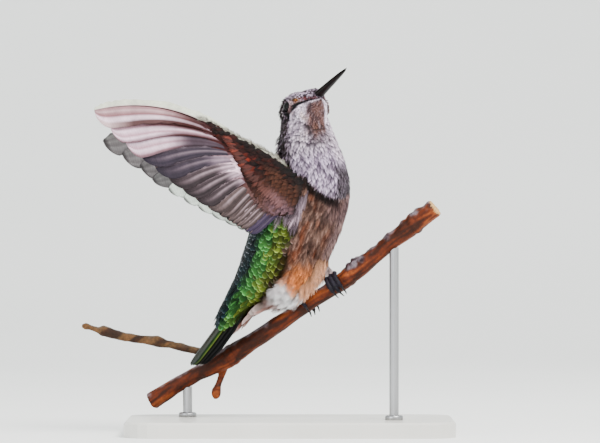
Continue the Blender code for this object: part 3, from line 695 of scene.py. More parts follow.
def thinOut(roots, taken, gap):
    # drops roots that stand too near one already taken
    keep, cells = [], {}
    steps = [(dx, dy, dz) for dx in (-1, 0, 1) for dy in (-1, 0, 1) for dz in (-1, 0, 1)]
    for p in taken:
        cells.setdefault(tuple((p // gap).astype(int)), []).append(p)
    for i, p in enumerate(roots):
        cell = tuple((p // gap).astype(int))
        near = (q for dx, dy, dz in steps for q in cells.get((cell[0] + dx, cell[1] + dy, cell[2] + dz), ()))
        if not any(np.dot(p - q, p - q) < gap * gap for q in near):
            keep.append(i)
            cells.setdefault(cell, []).append(p)
    return np.array(keep, int)


def scatterOnSkin(spacing, test):
    # even, irregular roots all over the part of the skin that passes the test
    corners = np.array([f[:3] for f in skinFaces] + [(f[0], f[2], f[3]) for f in skinFaces if len(f) == 4])
    corners = corners[test(skinVerts[corners].mean(axis=1))]
    a, b, c = (skinVerts[corners[:, k]] for k in range(3))
    area = np.linalg.norm(np.cross(b - a, c - a), axis=1) / 2
    count = int(area.sum() / spacing ** 2 * 5)
    picked = corners[rng.choice(len(corners), count, p=area / area.sum())]
    s, t = np.sqrt(rng.random(count))[:, None], rng.random(count)[:, None]
    weights = np.hstack([1 - s, s * (1 - t), s * t])[:, :, None]
    roots = (skinVerts[picked] * weights).sum(axis=1)
    normals = unit((skinNormals[picked] * weights).sum(axis=1))
    kept = thinOut(roots, [], spacing * 0.8)
    return roots[kept], normals[kept]


def leafUv(spots, u, v):
    # each feather keeps a small patch of the bake map round its root
    return spots[:, None] + np.stack([v * 0.0013, (u - 0.5) * 0.0026], axis=1)[None]


def layMesh(name, world, shape, tint, vane, spots):
    # one mesh for many copies of a feather shape
    verts, quads, tris = shape
    offset = (np.arange(len(world)) * len(verts))[:, None, None]
    obj = makeObject(name, world.reshape(-1, 3), (quads[None] + offset).reshape(-1, 4),
                     (tris[None] + offset).reshape(-1, 3))
    addPaint(obj, tint.reshape(-1, 3), vane.reshape(-1, 3), spots.reshape(-1, 2))
    return obj


def onAll(world, *values):
    # three values for each point of each feather, spread over all where one is given once
    return np.stack([np.broadcast_to(value, world.shape[:2]) for value in values], axis=2)


def jittered(value, low, high, count):
    # one size for all is varied from feather to feather, sizes given for each stay
    return value * rng.uniform(low, high, count) if np.isscalar(value) else value


maxTris = 180000


def layFeathers(name, roots, normals, lie, shape, look, tint, gloss, slotName, replaced, onSkin=True):
    # sets one feather on each root: it rises from the skin and bends along it to the tip
    verts, quads, tris = shape
    count = len(roots)
    if not count:
        return
    length, width = jittered(look["length"], 0.88, 1.1, count), jittered(look["width"], 0.9, 1.1, count)
    swing = np.radians(rng.normal(0, look.get("swing", 5), count))
    lie = unit(lie * np.cos(swing)[:, None] + np.cross(normals, lie) * np.sin(swing)[:, None])
    side = np.cross(normals, lie)
    drop = np.zeros(count)
    if onSkin:
        under = np.array([skinTree.find_nearest(Vector(p))[0] for p in roots + lie * length[:, None]])
        drop = dot(under - roots, normals)
    lift = look["lift"] * rng.uniform(0.8, 1.2, count)
    u, v, w = verts.T
    sweep, radius = v[None] * width[:, None] / 2, look.get("round", 6 * mm)
    high = (lift[:, None] * (0.12 + 0.88 * np.clip(u, 0, 1.2)[None] ** look.get("rise", 0.8))
            + drop[:, None] * u[None] ** 2 - sweep ** 2 / (2 * radius) * look.get("cup", 1.0)
            + w[None] * look["thick"] - 0.1 * mm)
    world = (roots[:, None] + lie[:, None] * (u[None, :, None] * length[:, None, None])
             + side[:, None] * sweep[:, :, None] + normals[:, None] * high[:, :, None])
    colour = tint[:, None]
    if look.get("paint"):
        # the markings run on across the feathers
        seen = plumage(world.reshape(-1, 3))[0].reshape(world.shape) * look["dapple"][:, None, None]
        colour = colour * (1 - look["paint"]) + seen * look["paint"]
    colour = colour * look["shade"](u, v, w)[None, :, None]
    if "fringe" in look:
        mixing = look["fringeMask"](u, v)[None] * np.broadcast_to(look["fringeAmount"], count)[:, None]
        colour = lerp(colour, look["fringe"], mixing)
    rng.uniform(0, 6, count)  # keeps the later draws in step
    colour = np.clip(colour, 0.003, 0.97)
    vane, spots = onAll(world, u, v, gloss[:, None]), leafUv(bakePlace(roots), u, v)
    perFeather = 2 * len(quads) + len(tris)
    chunk = max(1, maxTris // perFeather)
    for part, begin in enumerate(range(0, count, chunk)):
        some = slice(begin, begin + chunk)
        obj = layMesh(name + ("" if count <= chunk else "_%d" % (part + 1)), world[some], shape, colour[some],
                      vane[some], spots[some])
        finishPiece(obj, featherMaterial, slotName, *replaced)
    print("%s: %d feathers, %d triangles" % (name, count, count * perFeather))


featherMaterial = plumageMaterial("body_plumage", 0.6, 26.0, 0.00004, 0.15, gloss=0.65)
skinTint, skinGloss = plumage(skinVerts)
skin = objectFrom("skin", skinVerts, skinFaces)
addPaint(skin, skinTint * 0.4, skinGloss[:, None] * np.array((0, 0, 0.3)), bakePlace(skinVerts))
finishPiece(skin, featherMaterial, "plumage_grey", *flesh)


def underDark(w):
    return np.where(w < -0.05, 0.6, 1.0)


def scaleShade(u, v, w):
    # leaf: dark, with a bright crescent along its rounded end
    return (0.46 + 0.24 * ramp(u, 0.55, 0.8) + 0.7 * ramp(u + 0.10 * v * v, 0.87, 0.94)) * underDark(w)


def smallShade(u, v, w):
    return (0.5 + 0.65 * ramp(u, 0.3, 0.8)) * underDark(w)


def softShade(u, v, w):
    return (0.35 + 0.75 * ramp(u, 0.25, 0.8)) * (0.86 + 0.16 * np.cos(v * 12.57)) * underDark(w)


def tipMask(u, v):
    return ramp(u + 0.12 * v * v, 0.82, 0.95)


def ridgeMask(u, v):
    return ramp(u + 0.1 * v * v, 0.93, 0.99)


def lookOf(spacing, length, width, lift, thick, shade, **more):
    # sizes in mm; jitter is how much the feathers differ in tone, paint how far the markings cross them
    sizes = {"spacing": spacing, "length": length, "width": width, "lift": lift, "thick": thick}
    return dict({key: size * mm for key, size in sizes.items()}, shade=shade, fringeMask=tipMask, **more)


scaleLeaf, softLeaf, tinyLeaf = scaleShape(), softShape(), softShape(columns=5, depth=0.12)
softFan = strandShape(11, 0.85, 5, 0.19)
looseFan = strandShape(9, 1.0, 6, 0.13, curlOut=0.6, seed=5)
white = rgb(238, 232, 240)
scaly = {"rows": True, "swing": 4, "round": 5 * mm, "cup": 0.2, "jitter": 0.3, "fringe": rgb(196, 196, 204)}
looks = {
    "back": lookOf(1.08, 2.9, 1.75, 0.24, 0.03, scaleShade, **scaly),
    "rump": lookOf(1.1, 3.8, 1.85, 0.24, 0.03, scaleShade, **scaly),
    "underTail": lookOf(1.5, 5.6, 2.6, 1.6, 0.05, smallShade, rows=True, swing=5, round=4 * mm, cup=0.6,
                        jitter=0.12, fringe=rgb(232, 216, 214), fringeAmount=0.4),
    "vent": lookOf(0.8, 4.0, 2.4, 1.7, 0.05, smallShade, swing=16, rise=1.1, jitter=0.06),
    "belly": lookOf(0.95, 3.9, 1.7, 0.8, 0.06, smallShade, swing=7, jitter=0.14, paint=0.6),
    "thigh": lookOf(0.8, 4.6, 2.2, 2.0, 0.05, smallShade, swing=12, rise=1.0, jitter=0.1, fringe=white,
                    fringeAmount=0.5),
    "breast": lookOf(0.9, 3.2, 1.4, 0.7, 0.06, smallShade, swing=7, jitter=0.14, paint=0.7),
    "axillary": lookOf(1.1, 7.0, 2.2, 1.5, 0.06, softShade, swing=9, jitter=0.3),
    "throat": lookOf(0.7, 2.5, 0.95, 0.6, 0.05, softShade, swing=8, fringe=white, fringeAmount=0.25,
                     jitter=0.12, paint=0.8),
    "nape": lookOf(0.75, 2.2, 1.1, 1.5, 0.04, smallShade, swing=8, jitter=0.35, paint=0.7),
}
bodyTaken = np.zeros((0, 3))


def clearOf(taken, roots, normals, spacing):
    # keeps the roots that stand clear of the feathers laid before, and adds them to those taken
    kept = thinOut(roots, taken, spacing * 0.72)
    return roots[kept], normals[kept], np.vstack([taken, roots[kept]])


def layBody(name, shape, slotName, low, high, test, dye=None):
    # lays one kind of feather over the body, from run low to high, where the test of run and angle allows
    global bodyTaken
    look = dict(looks[name])

    def wanted(points):
        run, angle, _ = bodyPlace(points)
        allowed = test(run, np.abs(angle), markAt("greenEdge", run / mm))
        return allowed & (headShare(points) < 0.5) & (run >= low) & (run <= high)

    if look.get("rows"):
        roots, normals = rowsOnBody(look["spacing"], low, high)
    else:
        roots, normals = scatterOnSkin(look["spacing"], wanted)
    keep = wanted(roots)
    roots, normals, bodyTaken = clearOf(bodyTaken, roots[keep], normals[keep], look["spacing"])
    lie = lieAt(roots, normals)
    tint, gloss = plumage(roots + lie * (min(look["length"], 3.4 * mm) * 0.7))
    if dye is not None:
        tint = lerp(tint, dye, 0.85 * np.ones(len(tint)))
    look["dapple"] = np.clip(1 + rng.normal(0, look["jitter"], len(roots)), 0.35, 1.7)
    run, angle, _ = bodyPlace(roots)
    if name == "rump":
        # the long coverts stand off the narrow end, over the tail's base
        look["lift"] = look["lift"] + 0.9 * mm * (1 - ramp(run, 3 * mm, 11 * mm))
    if name in ("back", "rump"):
        # pale fringes only along the ridge of the back
        look["fringeAmount"] = 0.2 + 0.65 * (1 - ramp(np.abs(angle), 24, 44))
        look["fringeMask"] = ridgeMask
    tint = tint * look["dapple"][:, None]
    layFeathers("coat_" + name, roots, normals, lie, shape, look, tint, gloss, slotName, flesh)


layBody("underTail", scaleLeaf, "plumage_grey", 1.5 * mm, 13.8 * mm, lambda run, turn, edge: turn > edge + 2)
layBody("rump", scaleLeaf, "plumage_green", 0.6 * mm, runRump, lambda run, turn, edge: turn <= edge)
layBody("back", scaleLeaf, "plumage_green", runRump - 1.0 * mm, runNeck + 1 * mm,
        lambda run, turn, edge: turn <= edge)
layBody("vent", looseFan, "plumage_grey", 12.8 * mm, 20.2 * mm, lambda run, turn, edge: turn > 120)
layBody("thigh", looseFan, "plumage_grey", 18.6 * mm, 27 * mm,
        lambda run, turn, edge: turn > 148, rgb(230, 182, 148))
layBody("axillary", softFan, "plumage_grey", 34 * mm, 42 * mm,
        lambda run, turn, edge: (turn > 66) & (turn < 98), rgb(172, 156, 168))
layBody("belly", softFan, "plumage_grey", 9 * mm, runNeck - 6 * mm,
        lambda run, turn, edge: (turn > edge) & (run < bibRun(turn) - 5 * mm))
layBody("breast", softFan, "plumage_grey", runRump, runNeck + 2 * mm,
        lambda run, turn, edge: (turn > edge) & (run < bibRun(turn) + 1.2 * mm))
layBody("nape", softLeaf, "plumage_grey", runNeck - 2 * mm, 2 * runEnd, lambda run, turn, edge: turn < 62)
layBody("throat", softLeaf, "plumage_grey", runNeck - 9 * mm, 2 * runEnd,
        lambda run, turn, edge: run >= bibRun(turn) + 1.2 * mm)

headLooks = {
    "face": lookOf(0.36, 0.9, 0.5, 0.34, 0.025, smallShade, shape=tinyLeaf, fringeAmount=0.0,
                   where=lambda fromBill, around, gap: (fromBill < 58) | (gap < 3.0 * mm)),
    "crown": lookOf(0.52, 1.5, 0.85, 0.85, 0.025, smallShade, shape=tinyLeaf, fringeAmount=0.0,
                    where=lambda fromBill, around, gap: (around < 84) & (fromBill >= 58)),
    "cheek": lookOf(0.56, 1.5, 0.9, 0.6, 0.025, softShade, shape=softLeaf, fringeAmount=0.3,
                    where=lambda fromBill, around, gap: (around >= 84) & (fromBill >= 58)),
}


def eyeAway(points):
    # gap to the nearer eye's middle, and the way straight out from that eye
    gaps = np.stack([np.linalg.norm(points - eyeCentre[side], axis=1) for side, _ in bothSides])
    out = points - np.where((gaps[0] < gaps[1])[:, None], eyeCentre["right"], eyeCentre["left"])
    return gaps.min(axis=0), unit(squareTo(out, headRight))


def clearOfEyes(points):
    places = [eyePlace(points, side, sign) for side, sign in bothSides]
    return ~np.any([(flat < 1.36 * mm) & (high > -1 * mm) for high, _, flat in places], axis=0)


headTaken = np.zeros((0, 3))
for name, look in headLooks.items():
    roots, normals = scatterOnSkin(look["spacing"], lambda p: headShare(p) >= 0.48)
    fromBill, around = headPlace(roots)
    keep = look["where"](fromBill, np.abs(around), eyeAway(roots)[0])
    keep &= (headShare(roots) >= 0.5) & clearOfEyes(roots)
    keep &= (np.linalg.norm(squareTo(roots - billRoot, headForward), axis=1) > 0.7 * mm) | (fromBill > 40)
    roots, normals, headTaken = clearOf(headTaken, roots[keep], normals[keep], look["spacing"])
    eyeGap, fromEye = eyeAway(roots)
    # close to the eye the feathers radiate from it, and before it they are shorter
    lie = lieAt(roots, normals) + fromEye * (1.2 * (1 - ramp(eyeGap, 1.5 * mm, 2.3 * mm)))[:, None]
    lie = unit(squareTo(lie, normals))
    short = np.where(dot(fromEye, lie) < 0, np.interp(eyeGap / mm, [1.6, 2.7], [0.35, 1.0]),
                     np.interp(eyeGap / mm, [1.5, 2.5], [0.6, 1.0]))
    tint, gloss = plumage(roots + lie * look["length"] * 0.6)
    dapple = np.clip(1 + rng.normal(0, 0.16, len(roots)), 0.5, 1.5)
    # low near the bill, fuller towards the back of the head
    fromBill, around = headPlace(roots)
    raised = np.interp(fromBill, [56, 82], [0.36, 1.0]) if name != "face" else 1.0
    fuller = 0.45 * mm * ramp(fromBill, 78, 108) * (1 - ramp(np.abs(around), 84, 110))
    fuller = fuller * ramp(eyeGap, 1.3 * mm, 1.9 * mm)
    lay = dict(look, length=look["length"] * short * rng.uniform(0.9, 1.1, len(roots)), swing=9, round=3 * mm,
               lift=look["lift"] * raised + fuller, paint=0.75, dapple=dapple, fringe=white)
    layFeathers("coat_" + name, roots, normals, lie, look["shape"], lay, tint * dapple[:, None], gloss,
                "plumage_grey", flesh)


wing = {
    "axes": {"right": ((-0.933, -0.012, 0.359), (-0.344, 0.0, -0.939), 1),
             "left": ((-0.942, 0.225, 0.235), (-0.25, 0.13, -0.965), -1)},
    "span": 56.0, "chord": 15.4, "hand": (19.5, -5.0), "wrist": (9.8, 0.0), "elbow": (2.6, 3.5), "bow": 9.0,
    "camber": 1.3, "droop": 1.6, "slope": 0.16, "count": 16, "primaries": 10, "reach": 1.07,
}
# arm outline: run out along the wing, leading edge, trailing edge, half thickness, in mm
armRun, armLead, armTrail, armHalf = np.array([
    (0.5, -2.6, 8.0, 1.9), (3, -3.7, 8.6, 1.9), (6.5, -5, 8.2, 1.7), (10, -5.8, 6.6, 1.4),
    (13.5, -6.1, 3.6, 1.1), (17, -6.5, 0.2, 0.9), (21, -6.9, -3.2, 0.75), (24.5, -7.25, -4.6, 0.6),
    (27, -7.5, -6.1, 0.45)]).T
wingAxes = {}
for side, _ in bothSides:
    span, chord, turn = wing["axes"][side]
    span = unit(span)
    chord = unit(squareTo(np.array(chord), span))
    under = np.cross(span, chord) * turn
    blade, arm = nodeVerts("wing_%s_primaries" % side), nodeVerts("wing_%s_arm" % side)
    reach = dot(blade, span)
    tipEnd = blade[reach > reach.max() - 0.5 * mm]
    origin = (span * (reach.max() - wing["span"] * mm) + chord * (dot(arm, chord).min() + 7.5 * mm)
              + under * (dot(tipEnd, under).mean() + 0.37 * mm))
    wingAxes[side] = (origin, span, chord, under)


def sheetPlace(origin, axes, u, v, lift):
    # a place in mm on a wing's or tail's own axes, in the world
    return origin + (axes[0] * u[..., None] + axes[1] * v[..., None] + axes[2] * lift[..., None]) * mm


def wingPlace(side, u, v, lift):
    # plan position in mm to the world; lift is towards the underside
    camber = (wing["camber"] * (1 - ((v - 3) / 13) ** 2) * np.minimum(1, u / 15)
              - wing["droop"] * (u / wing["span"]) ** 2)
    return sheetPlace(wingAxes[side][0], wingAxes[side][1:], u, v, camber + lift)


def featherLine(k, t):
    # shaft of flight feather k in plan: 0 is the outermost primary, 9 the innermost, 10 to 15 the secondaries
    hand, wrist, elbow = (np.array(wing[n]) for n in ("hand", "wrist", "elbow"))
    base = hand + (wrist - hand) * k / 9 if k < 10 else wrist + (elbow - wrist) * (k - 9) / 6
    s = k / 15
    u = 3 + 53 * (1 - s) ** 1.5 if k < 10 else 14.2 - 1.26 * (k - 10)
    tip = np.array((u, wing["chord"] * (1 - (u / wing["span"]) ** 1.68)))
    forwards = unit(np.array((tip[1] - base[1], base[0] - tip[0])))
    bend = (base + tip) / 2 + forwards * wing["bow"] * (1 - s) ** 2.2
    t = np.asarray(t)[:, None]
    return base * (1 - t) ** 2 + 2 * bend * t * (1 - t) + tip * t * t


# bright is the rosy pale of the outer primaries, partly their own tone and partly painted backlight shining
# through the vanes; pale is for painted highlights beside the shafts
bright, maroon, dark, pale = rgb(244, 224, 238), rgb(66, 22, 20), rgb(24, 18, 22), rgb(204, 184, 192)


def outerTint(t, w, wave):
    # the outermost primary: rosy, maroon at its foot; its bright streak is a painted highlight and its pale
    # leading edge is painted rim light
    foot = 0.92 * (1 - ramp(t, 0.30, 0.56)) * ramp(w, -0.1, 0.2) * (1 - 0.5 * band(w, 0.5, 0.7, 0.1))
    return layered(rgb(204, 182, 184), (rgb(138, 98, 104), (0.3 + 0.65 * wave) * band(w, 0.0, 0.62, 0.1)),
                   (bright, 0.75 * band(w, 0.52, 0.7, 0.08)),
                   (maroon, 0.85 * ramp(w, 0.6, 0.78) * (1 - ramp(t, 0.72, 0.98))), (maroon, foot),
                   (dark, 0.6 * (1 - ramp(np.abs(w), 0.05, 0.2)) * (1 - ramp(t, 0.3, 0.5))),
                   (rgb(208, 210, 196), ramp(-w, 0.05, 0.3)))


def nextTint(k, t, w, wave):
    # the next two primaries: pale, striped with maroon along the shaft and edges; the pale is partly their
    # own rosy tone and partly painted backlight shining through the vanes
    first = k == 1
    stripe = 1 - 0.85 * band(w, 0.45, 0.75, 0.1) * (0.5 + 0.5 * ramp(t, 0.1, 0.4)) * first
    return layered(bright, (rgb(166, 124, 134), 0.2 + 0.6 * wave),
                   (maroon, 0.85 * (1 - ramp(np.abs(w - 0.04), 0.06, 0.22))),
                   (maroon, 0.85 * ramp(-w, 0.1, 0.4) * (1 - ramp(t, 0.8, 1.05))),
                   (maroon, 0.7 * ramp(w, 0.84, 0.94)),
                   (maroon, 0.8 * first * (1 - ramp(w, 0.3, 0.5)) * (1 - ramp(t, 0.66, 0.9))),
                   (maroon if first else rgb(62, 50, 60), 0.92 * (1 - ramp(t, 0.42, 0.7)) * stripe))


def innerTint(k, t, w, wave):
    # all the others: dusky; the pale streaks beside the shaft and on the vane are painted highlights, and the
    # dark leading vane is painted shadow where the feathers overlap
    fan = (1 - ramp(t, 0.36 - 0.02 * k, 0.56 - 0.02 * k)) * (3 < k < 8) * ramp(w, -0.4, 0.2)
    bars = 0.55 * (band(w, 0.34, 0.44, 0.05) + band(w, 0.76, 0.86, 0.05)) * (0.4 + 0.6 * wave)
    cool, violet = np.full(t.shape, 0.45 * (k in (3, 4))), np.full(t.shape, 0.75 * (k >= 14))
    return layered(rgb(90, 78, 82) if k < 8 else rgb(116, 101, 100), (dark, 0.75 * ramp(-w, 0.0, 0.3)),
                   (dark, (0.35 + 0.25 * wave) * ramp(w, 0.35, 0.9)),
                   (pale, (0.55 if k < 10 else 0.8) * (band(w, 0.07, 0.26, 0.05) * (1 - ramp(t, 0.6, 1.0)))),
                   (pale, 0.45 * band(w, 0.5, 0.64, 0.06) * (1 - ramp(t, 0.6, 0.95))), (dark, bars),
                   (rgb(222, 196, 210), 0.75 * fan * (0.35 + 0.65 * wave)), (dark, 0.5 * ramp(t, 0.88, 1.0)),
                   (rgb(66, 60, 78), cool), (rgb(64, 54, 82), violet))


def flightTint(side, k, t, w, grain):
    # w runs from -1 at the leading edge of the vane, 0 at the shaft, to 1 at the trailing edge
    wave = 0.5 + 0.5 * np.sin(w * 17 + k * 2.1 + 1.5 * t)
    colour = outerTint(t, w, wave) if k == 0 else (nextTint if k <= 2 else innerTint)(k, t, w, wave)
    if side == "left":
        # painted light: the far wing's tips are painted as light showing through them, pale on the inner
        # feathers and grey on the outer ones, with dark rims
        backlitTips = layered(rgb(214, 222, 214) if k > 3 else rgb(120, 118, 118),
                        (rgb(78, 76, 78), (0.5 if k < 4 else 0.1) * wave))
        rim = np.maximum(ramp(np.abs(w), 0.86, 0.98), ramp(t, 0.965, 0.99))
        colour = layered(colour, (backlitTips, 0.95 * ramp(t, 0.6, 0.8)), (rgb(58, 54, 56), 0.8 * rim))
    return np.clip(colour * (1 + 0.1 * grain)[..., None], 0.004, 0.97)


def tipSteps(bend, most, many):
    # shares along a shaft, drawn closer towards the tip
    return np.concatenate([np.linspace(0, bend, most),
                           bend + (1 - bend) * np.sin(np.linspace(0, math.pi / 2, many)[1:])])


def closingAt(t, start, length, power):
    # share of a vane's width left as it rounds off towards the tip
    return np.sqrt(np.clip(1 - np.clip((t - start) / length, 0, 1) ** power, 0, 1))


def sheetFeather(top, low, tint, vane, shaft, girth, shaftColour, shaftVane, flip=False):
    # a long feather: a thin closed sheet for its vane, and a tapered rib for its shaft
    faces = sheetFaces(*tint.shape[:2])
    sheet = np.vstack([top.reshape(-1, 3), low.reshape(-1, 3)])
    rib = tubeMesh(shaft, girth * mm)
    parts = joinMeshes([(sheet, faces[:, ::-1] if flip else faces, []), rib])
    tint, vane = (np.vstack([np.tile(field.reshape(-1, 3), (2, 1)), np.tile(onRib, (len(rib[0]), 1))])
                  for field, onRib in ((tint, shaftColour), (vane, shaftVane)))
    return parts, tint, vane


def joinFeathers(name, made, spotsOf, material, slotName, node):
    # one piece from many long feathers
    verts, quads, tris = joinMeshes([m[0] for m in made])
    obj = makeObject(name, verts, quads, tris)
    addPaint(obj, np.vstack([m[1] for m in made]), np.vstack([m[2] for m in made]), spotsOf(verts))
    finishPiece(obj, material, slotName, node)


def flightFeather(side, k):
    t = tipSteps(0.84, 26, 13)
    # the far wing is spread a little further, so its tips show past the near one
    reach = np.interp(k, [0, 2, 3, 15], [1.035, 1.02, 1.06, wing["reach"]]) if side == "left" else 1.0
    line = featherLine(k, t * reach)
    along = unit(np.gradient(line, axis=0))
    trailing = np.stack([-along[:, 1], along[:, 0]], axis=1)
    gap = np.full(len(t), 1.35)
    if k < 15:
        beside = featherLine(k + 1, np.linspace(0, 1, 60))
        gap = np.min(np.linalg.norm(line[:, None] - beside[None], axis=2), axis=1)
    length = np.sum(np.linalg.norm(np.diff(line, axis=0), axis=1))
    closing = closingAt(t, 0.88, 0.122, 2.3)
    # the trailing half of the inner feathers slants away to the tip
    slant = closing if k < 3 else closingAt(t, 0.72, 0.282, 2)
    opening = 0.35 + 0.65 * ramp(t, 0, 0.12)
    wide = np.clip(gap * 1.32, 1.2, 5.4) * slant * opening
    narrow = (0.95 + 0.4 * min(1, k / 9)) * closing * opening
    if k == 0:
        narrow = narrow * np.interp(t, [0, 0.5, 1], [1.9, 1.7, 1.2])
    w = np.array([-1, -0.75, -0.5, -0.3, -0.12, -0.04, 0.04, 0.12, 0.2, 0.3, 0.42, 0.54, 0.66, 0.78, 0.9, 1])
    offset = np.where(w[None] < 0, w[None] * narrow[:, None], w[None] * wide[:, None])
    grain = rng.normal(0, 1, (len(t), 1)) * 0.4 + rng.normal(0, 0.5)
    # barbs part a little here and there along the edge
    splits = rng.choice(np.arange(4, len(t) - 6), 3)
    offset[splits, -1] -= 0.3
    if k == 0:
        # the loose barbs of the leading edge
        offset[:, 0] -= rng.uniform(0, 0.45, len(t)) * (0.4 + 0.6 * closing)
    plan = line[:, None] + trailing[:, None] * offset[..., None]
    lift = wing["slope"] * offset + 0.05 * np.sin(w * math.pi)[None]
    top, low = (wingPlace(side, plan[..., 0], plan[..., 1], lift + rise) for rise in (0.04, -0.05))
    tint = flightTint(side, k, t[:, None], w[None], grain)
    shaft = wingPlace(side, line[:, 0], line[:, 1], np.full(len(t), 0.06))
    return sheetFeather(top, low, tint, onAll(top, t[:, None] * length / 10, w * 0.5, 0.0), shaft,
                        np.interp(t, [0, 0.9, 1], [0.24, 0.07, 0.03]),
                        rgb(56, 22, 22) if k < 4 else rgb(150, 130, 124), (0.0, 0.0, 0.2))


def wingUv(side, verts):
    origin, span, chord, _ = wingAxes[side]
    u, v = dot(verts - origin, span) / mm, dot(verts - origin, chord) / mm
    shift = 0.02 if side == "right" else 0.52
    u, v = np.clip(u + 4, 0, 62) / 62, np.clip(v + 10, 0, 28) / 28
    return np.stack([0.02 + u * 0.96, shift + v * 0.44], axis=1)


def armLift(u, v):
    # height of the arm's surface above the wing's middle plane
    lead, trail, half = (np.interp(u, armRun, edge) for edge in (armLead, armTrail, armHalf))
    x = (v - (lead + trail) / 2) / np.maximum((trail - lead) / 2, 0.1)
    return np.where(u > 28, 0.15, half * np.sqrt(np.clip(1 - x * x, 0, 1)) * (1 - ramp(u, 24, 28)))


def layCoverts(name, side, face, roots, angles, shape, look, tint):
    # feathers laid flat on one face of the wing; face is 1 for the underside, -1 for the upper side
    verts, quads, tris = shape
    count = len(roots)
    length = look["length"] * rng.uniform(0.88, 1.12, count)
    width = look["width"] * rng.uniform(0.9, 1.1, count)
    along = np.stack([np.cos(angles), np.sin(angles)], axis=1)
    sideways = np.stack([-along[:, 1], along[:, 0]], axis=1)
    u, v, w = verts.T
    plan = (roots[:, None] + along[:, None] * (u[None, :, None] * length[:, None, None])
            + sideways[:, None] * (v[None, :, None] * width[:, None, None] / 2))
    rootLift = armLift(roots[:, 0], roots[:, 1])[:, None] * (1 - u[None]) ** 2 * 0.6
    lift = (np.maximum(armLift(plan[..., 0], plan[..., 1]), rootLift) - 0.15 + look["lift"] * (0.15 + u[None])
            + look["thick"] * w[None] - 0.10 * v[None] ** 2 * width[:, None] / 2)
    world = wingPlace(side, plan[..., 0], plan[..., 1], face * lift)
    colour = np.clip(tint[:, None] * look["shade"](u, v, w)[None, :, None], 0.003, 0.97)
    if "fringe" in look:
        colour = lerp(colour, look["fringe"], tipMask(u, v)[None] * look["fringeAmount"])
    faces = quads if face == (1 if side == "right" else -1) else quads[:, ::-1]
    spots = leafUv(wingUv(side, wingPlace(side, roots[:, 0], roots[:, 1], np.zeros(count))), u, v)
    obj = layMesh(name, world, (verts, faces, tris), colour, onAll(world, u, v, 0.0), spots)
    finishPiece(obj, featherMaterial, "wing", "wing_%s_arm" % side)
    print("%s: %d feathers" % (name, count))


def lieInPlan(roots):
    # direction of the nearest flight feather's shaft near its root
    lines = []
    for k in np.arange(0, 15.01, 0.5):
        low, high = int(math.floor(k)), min(15, int(math.ceil(k)))
        lines.append((featherLine(low, [0.0, 0.2]) + featherLine(high, [0.0, 0.2])) / 2)
    lines = np.array(lines)
    nearest = np.linalg.norm(roots[:, None] - lines[None, :, 0], axis=2).argmin(1)
    way = unit(lines[:, 1] - lines[:, 0])[nearest]
    # the front of the arm lies closer to the wing's own length
    front = 1 - ramp(roots[:, 1] - np.interp(roots[:, 0], armRun, armLead), 0.5, 4.5)
    way = unit(lerp(way, unit((1.0, 0.22)), 0.75 * front))
    return np.arctan2(way[:, 1], way[:, 0])


def liningTint(face, roots):
    # colour of the small feathers on the arm, by their place in plan
    u, v = roots.T
    behind = v - np.interp(u, armRun, armLead)
    grain = rng.normal(0, 1, len(roots))
    if face > 0:
        spots = 0.85 * ramp(grain, -0.1, 2.0) * band(u, 8, 22, 3) * (1 - ramp(behind, 3.5, 6.5))
        colour = layered(rgb(34, 15, 10), (rgb(72, 28, 20), ramp(-grain, 0.0, 1.2)),
                         (rgb(124, 52, 34), spots * ramp(behind, 0.6, 1.6)),
                         (rgb(112, 80, 74), 0.8 * ramp(behind, 6.0, 9.0) * (1 - band(u, 8, 14, 2) * 0.6)),
                         (rgb(92, 62, 48), 0.75 * (1 - ramp(u, 6, 11)) * ramp(behind, 0.8, 2.2)),
                         (rgb(124, 100, 108), 0.8 * (1 - ramp(u, 3.5, 9)) * ramp(behind, 4.0, 7.5)))
    else:
        colour = layered(rgb(92, 128, 74), (rgb(84, 74, 70), ramp(u, 8, 16)),
                         (rgb(120, 120, 62), 0.5 * ramp(grain, 0, 1.4)))
    return np.clip(colour * (1 + 0.14 * grain)[:, None], 0.004, 0.9)


def covertShade(u, v, w):
    # long covert: pale shaft, darker towards the sides
    shaft = 1 + 0.25 * (1 - ramp(np.abs(v), 0.03, 0.2))
    return (0.7 + 0.4 * ramp(u, 0.05, 0.5)) * shaft * (1 - 0.35 * ramp(np.abs(v), 0.6, 1.0))


covert = {
    "small": {"length": 2.8, "width": 1.4, "lift": 0.38, "thick": 0.03, "shade": softShade, "gap": 0.85},
    "middle": {"length": 4.6, "width": 2.2, "lift": 0.5, "thick": 0.04, "shade": covertShade},
    "great": {"width": 3.3, "lift": 0.34, "thick": 0.04, "shade": covertShade, "fringeAmount": 0.5},
    "edge": {"length": 2.9, "width": 1.5, "lift": 0.15, "thick": 0.04, "shade": softShade},
}


def greatRoots():
    # greater coverts: one over each flight feather and one between
    ks = np.arange(0.25, 15.3, 0.5)
    ends = [featherLine(int(k), (0.02, 0.25)) * (1 - (k - int(k)))
            + featherLine(min(15, int(k) + 1), (0.02, 0.25)) * (k - int(k)) for k in ks]
    ends = np.array(ends)
    ways = unit(ends[:, 1] - ends[:, 0])
    return ks, ends[:, 0] + ways * 0.8, ways


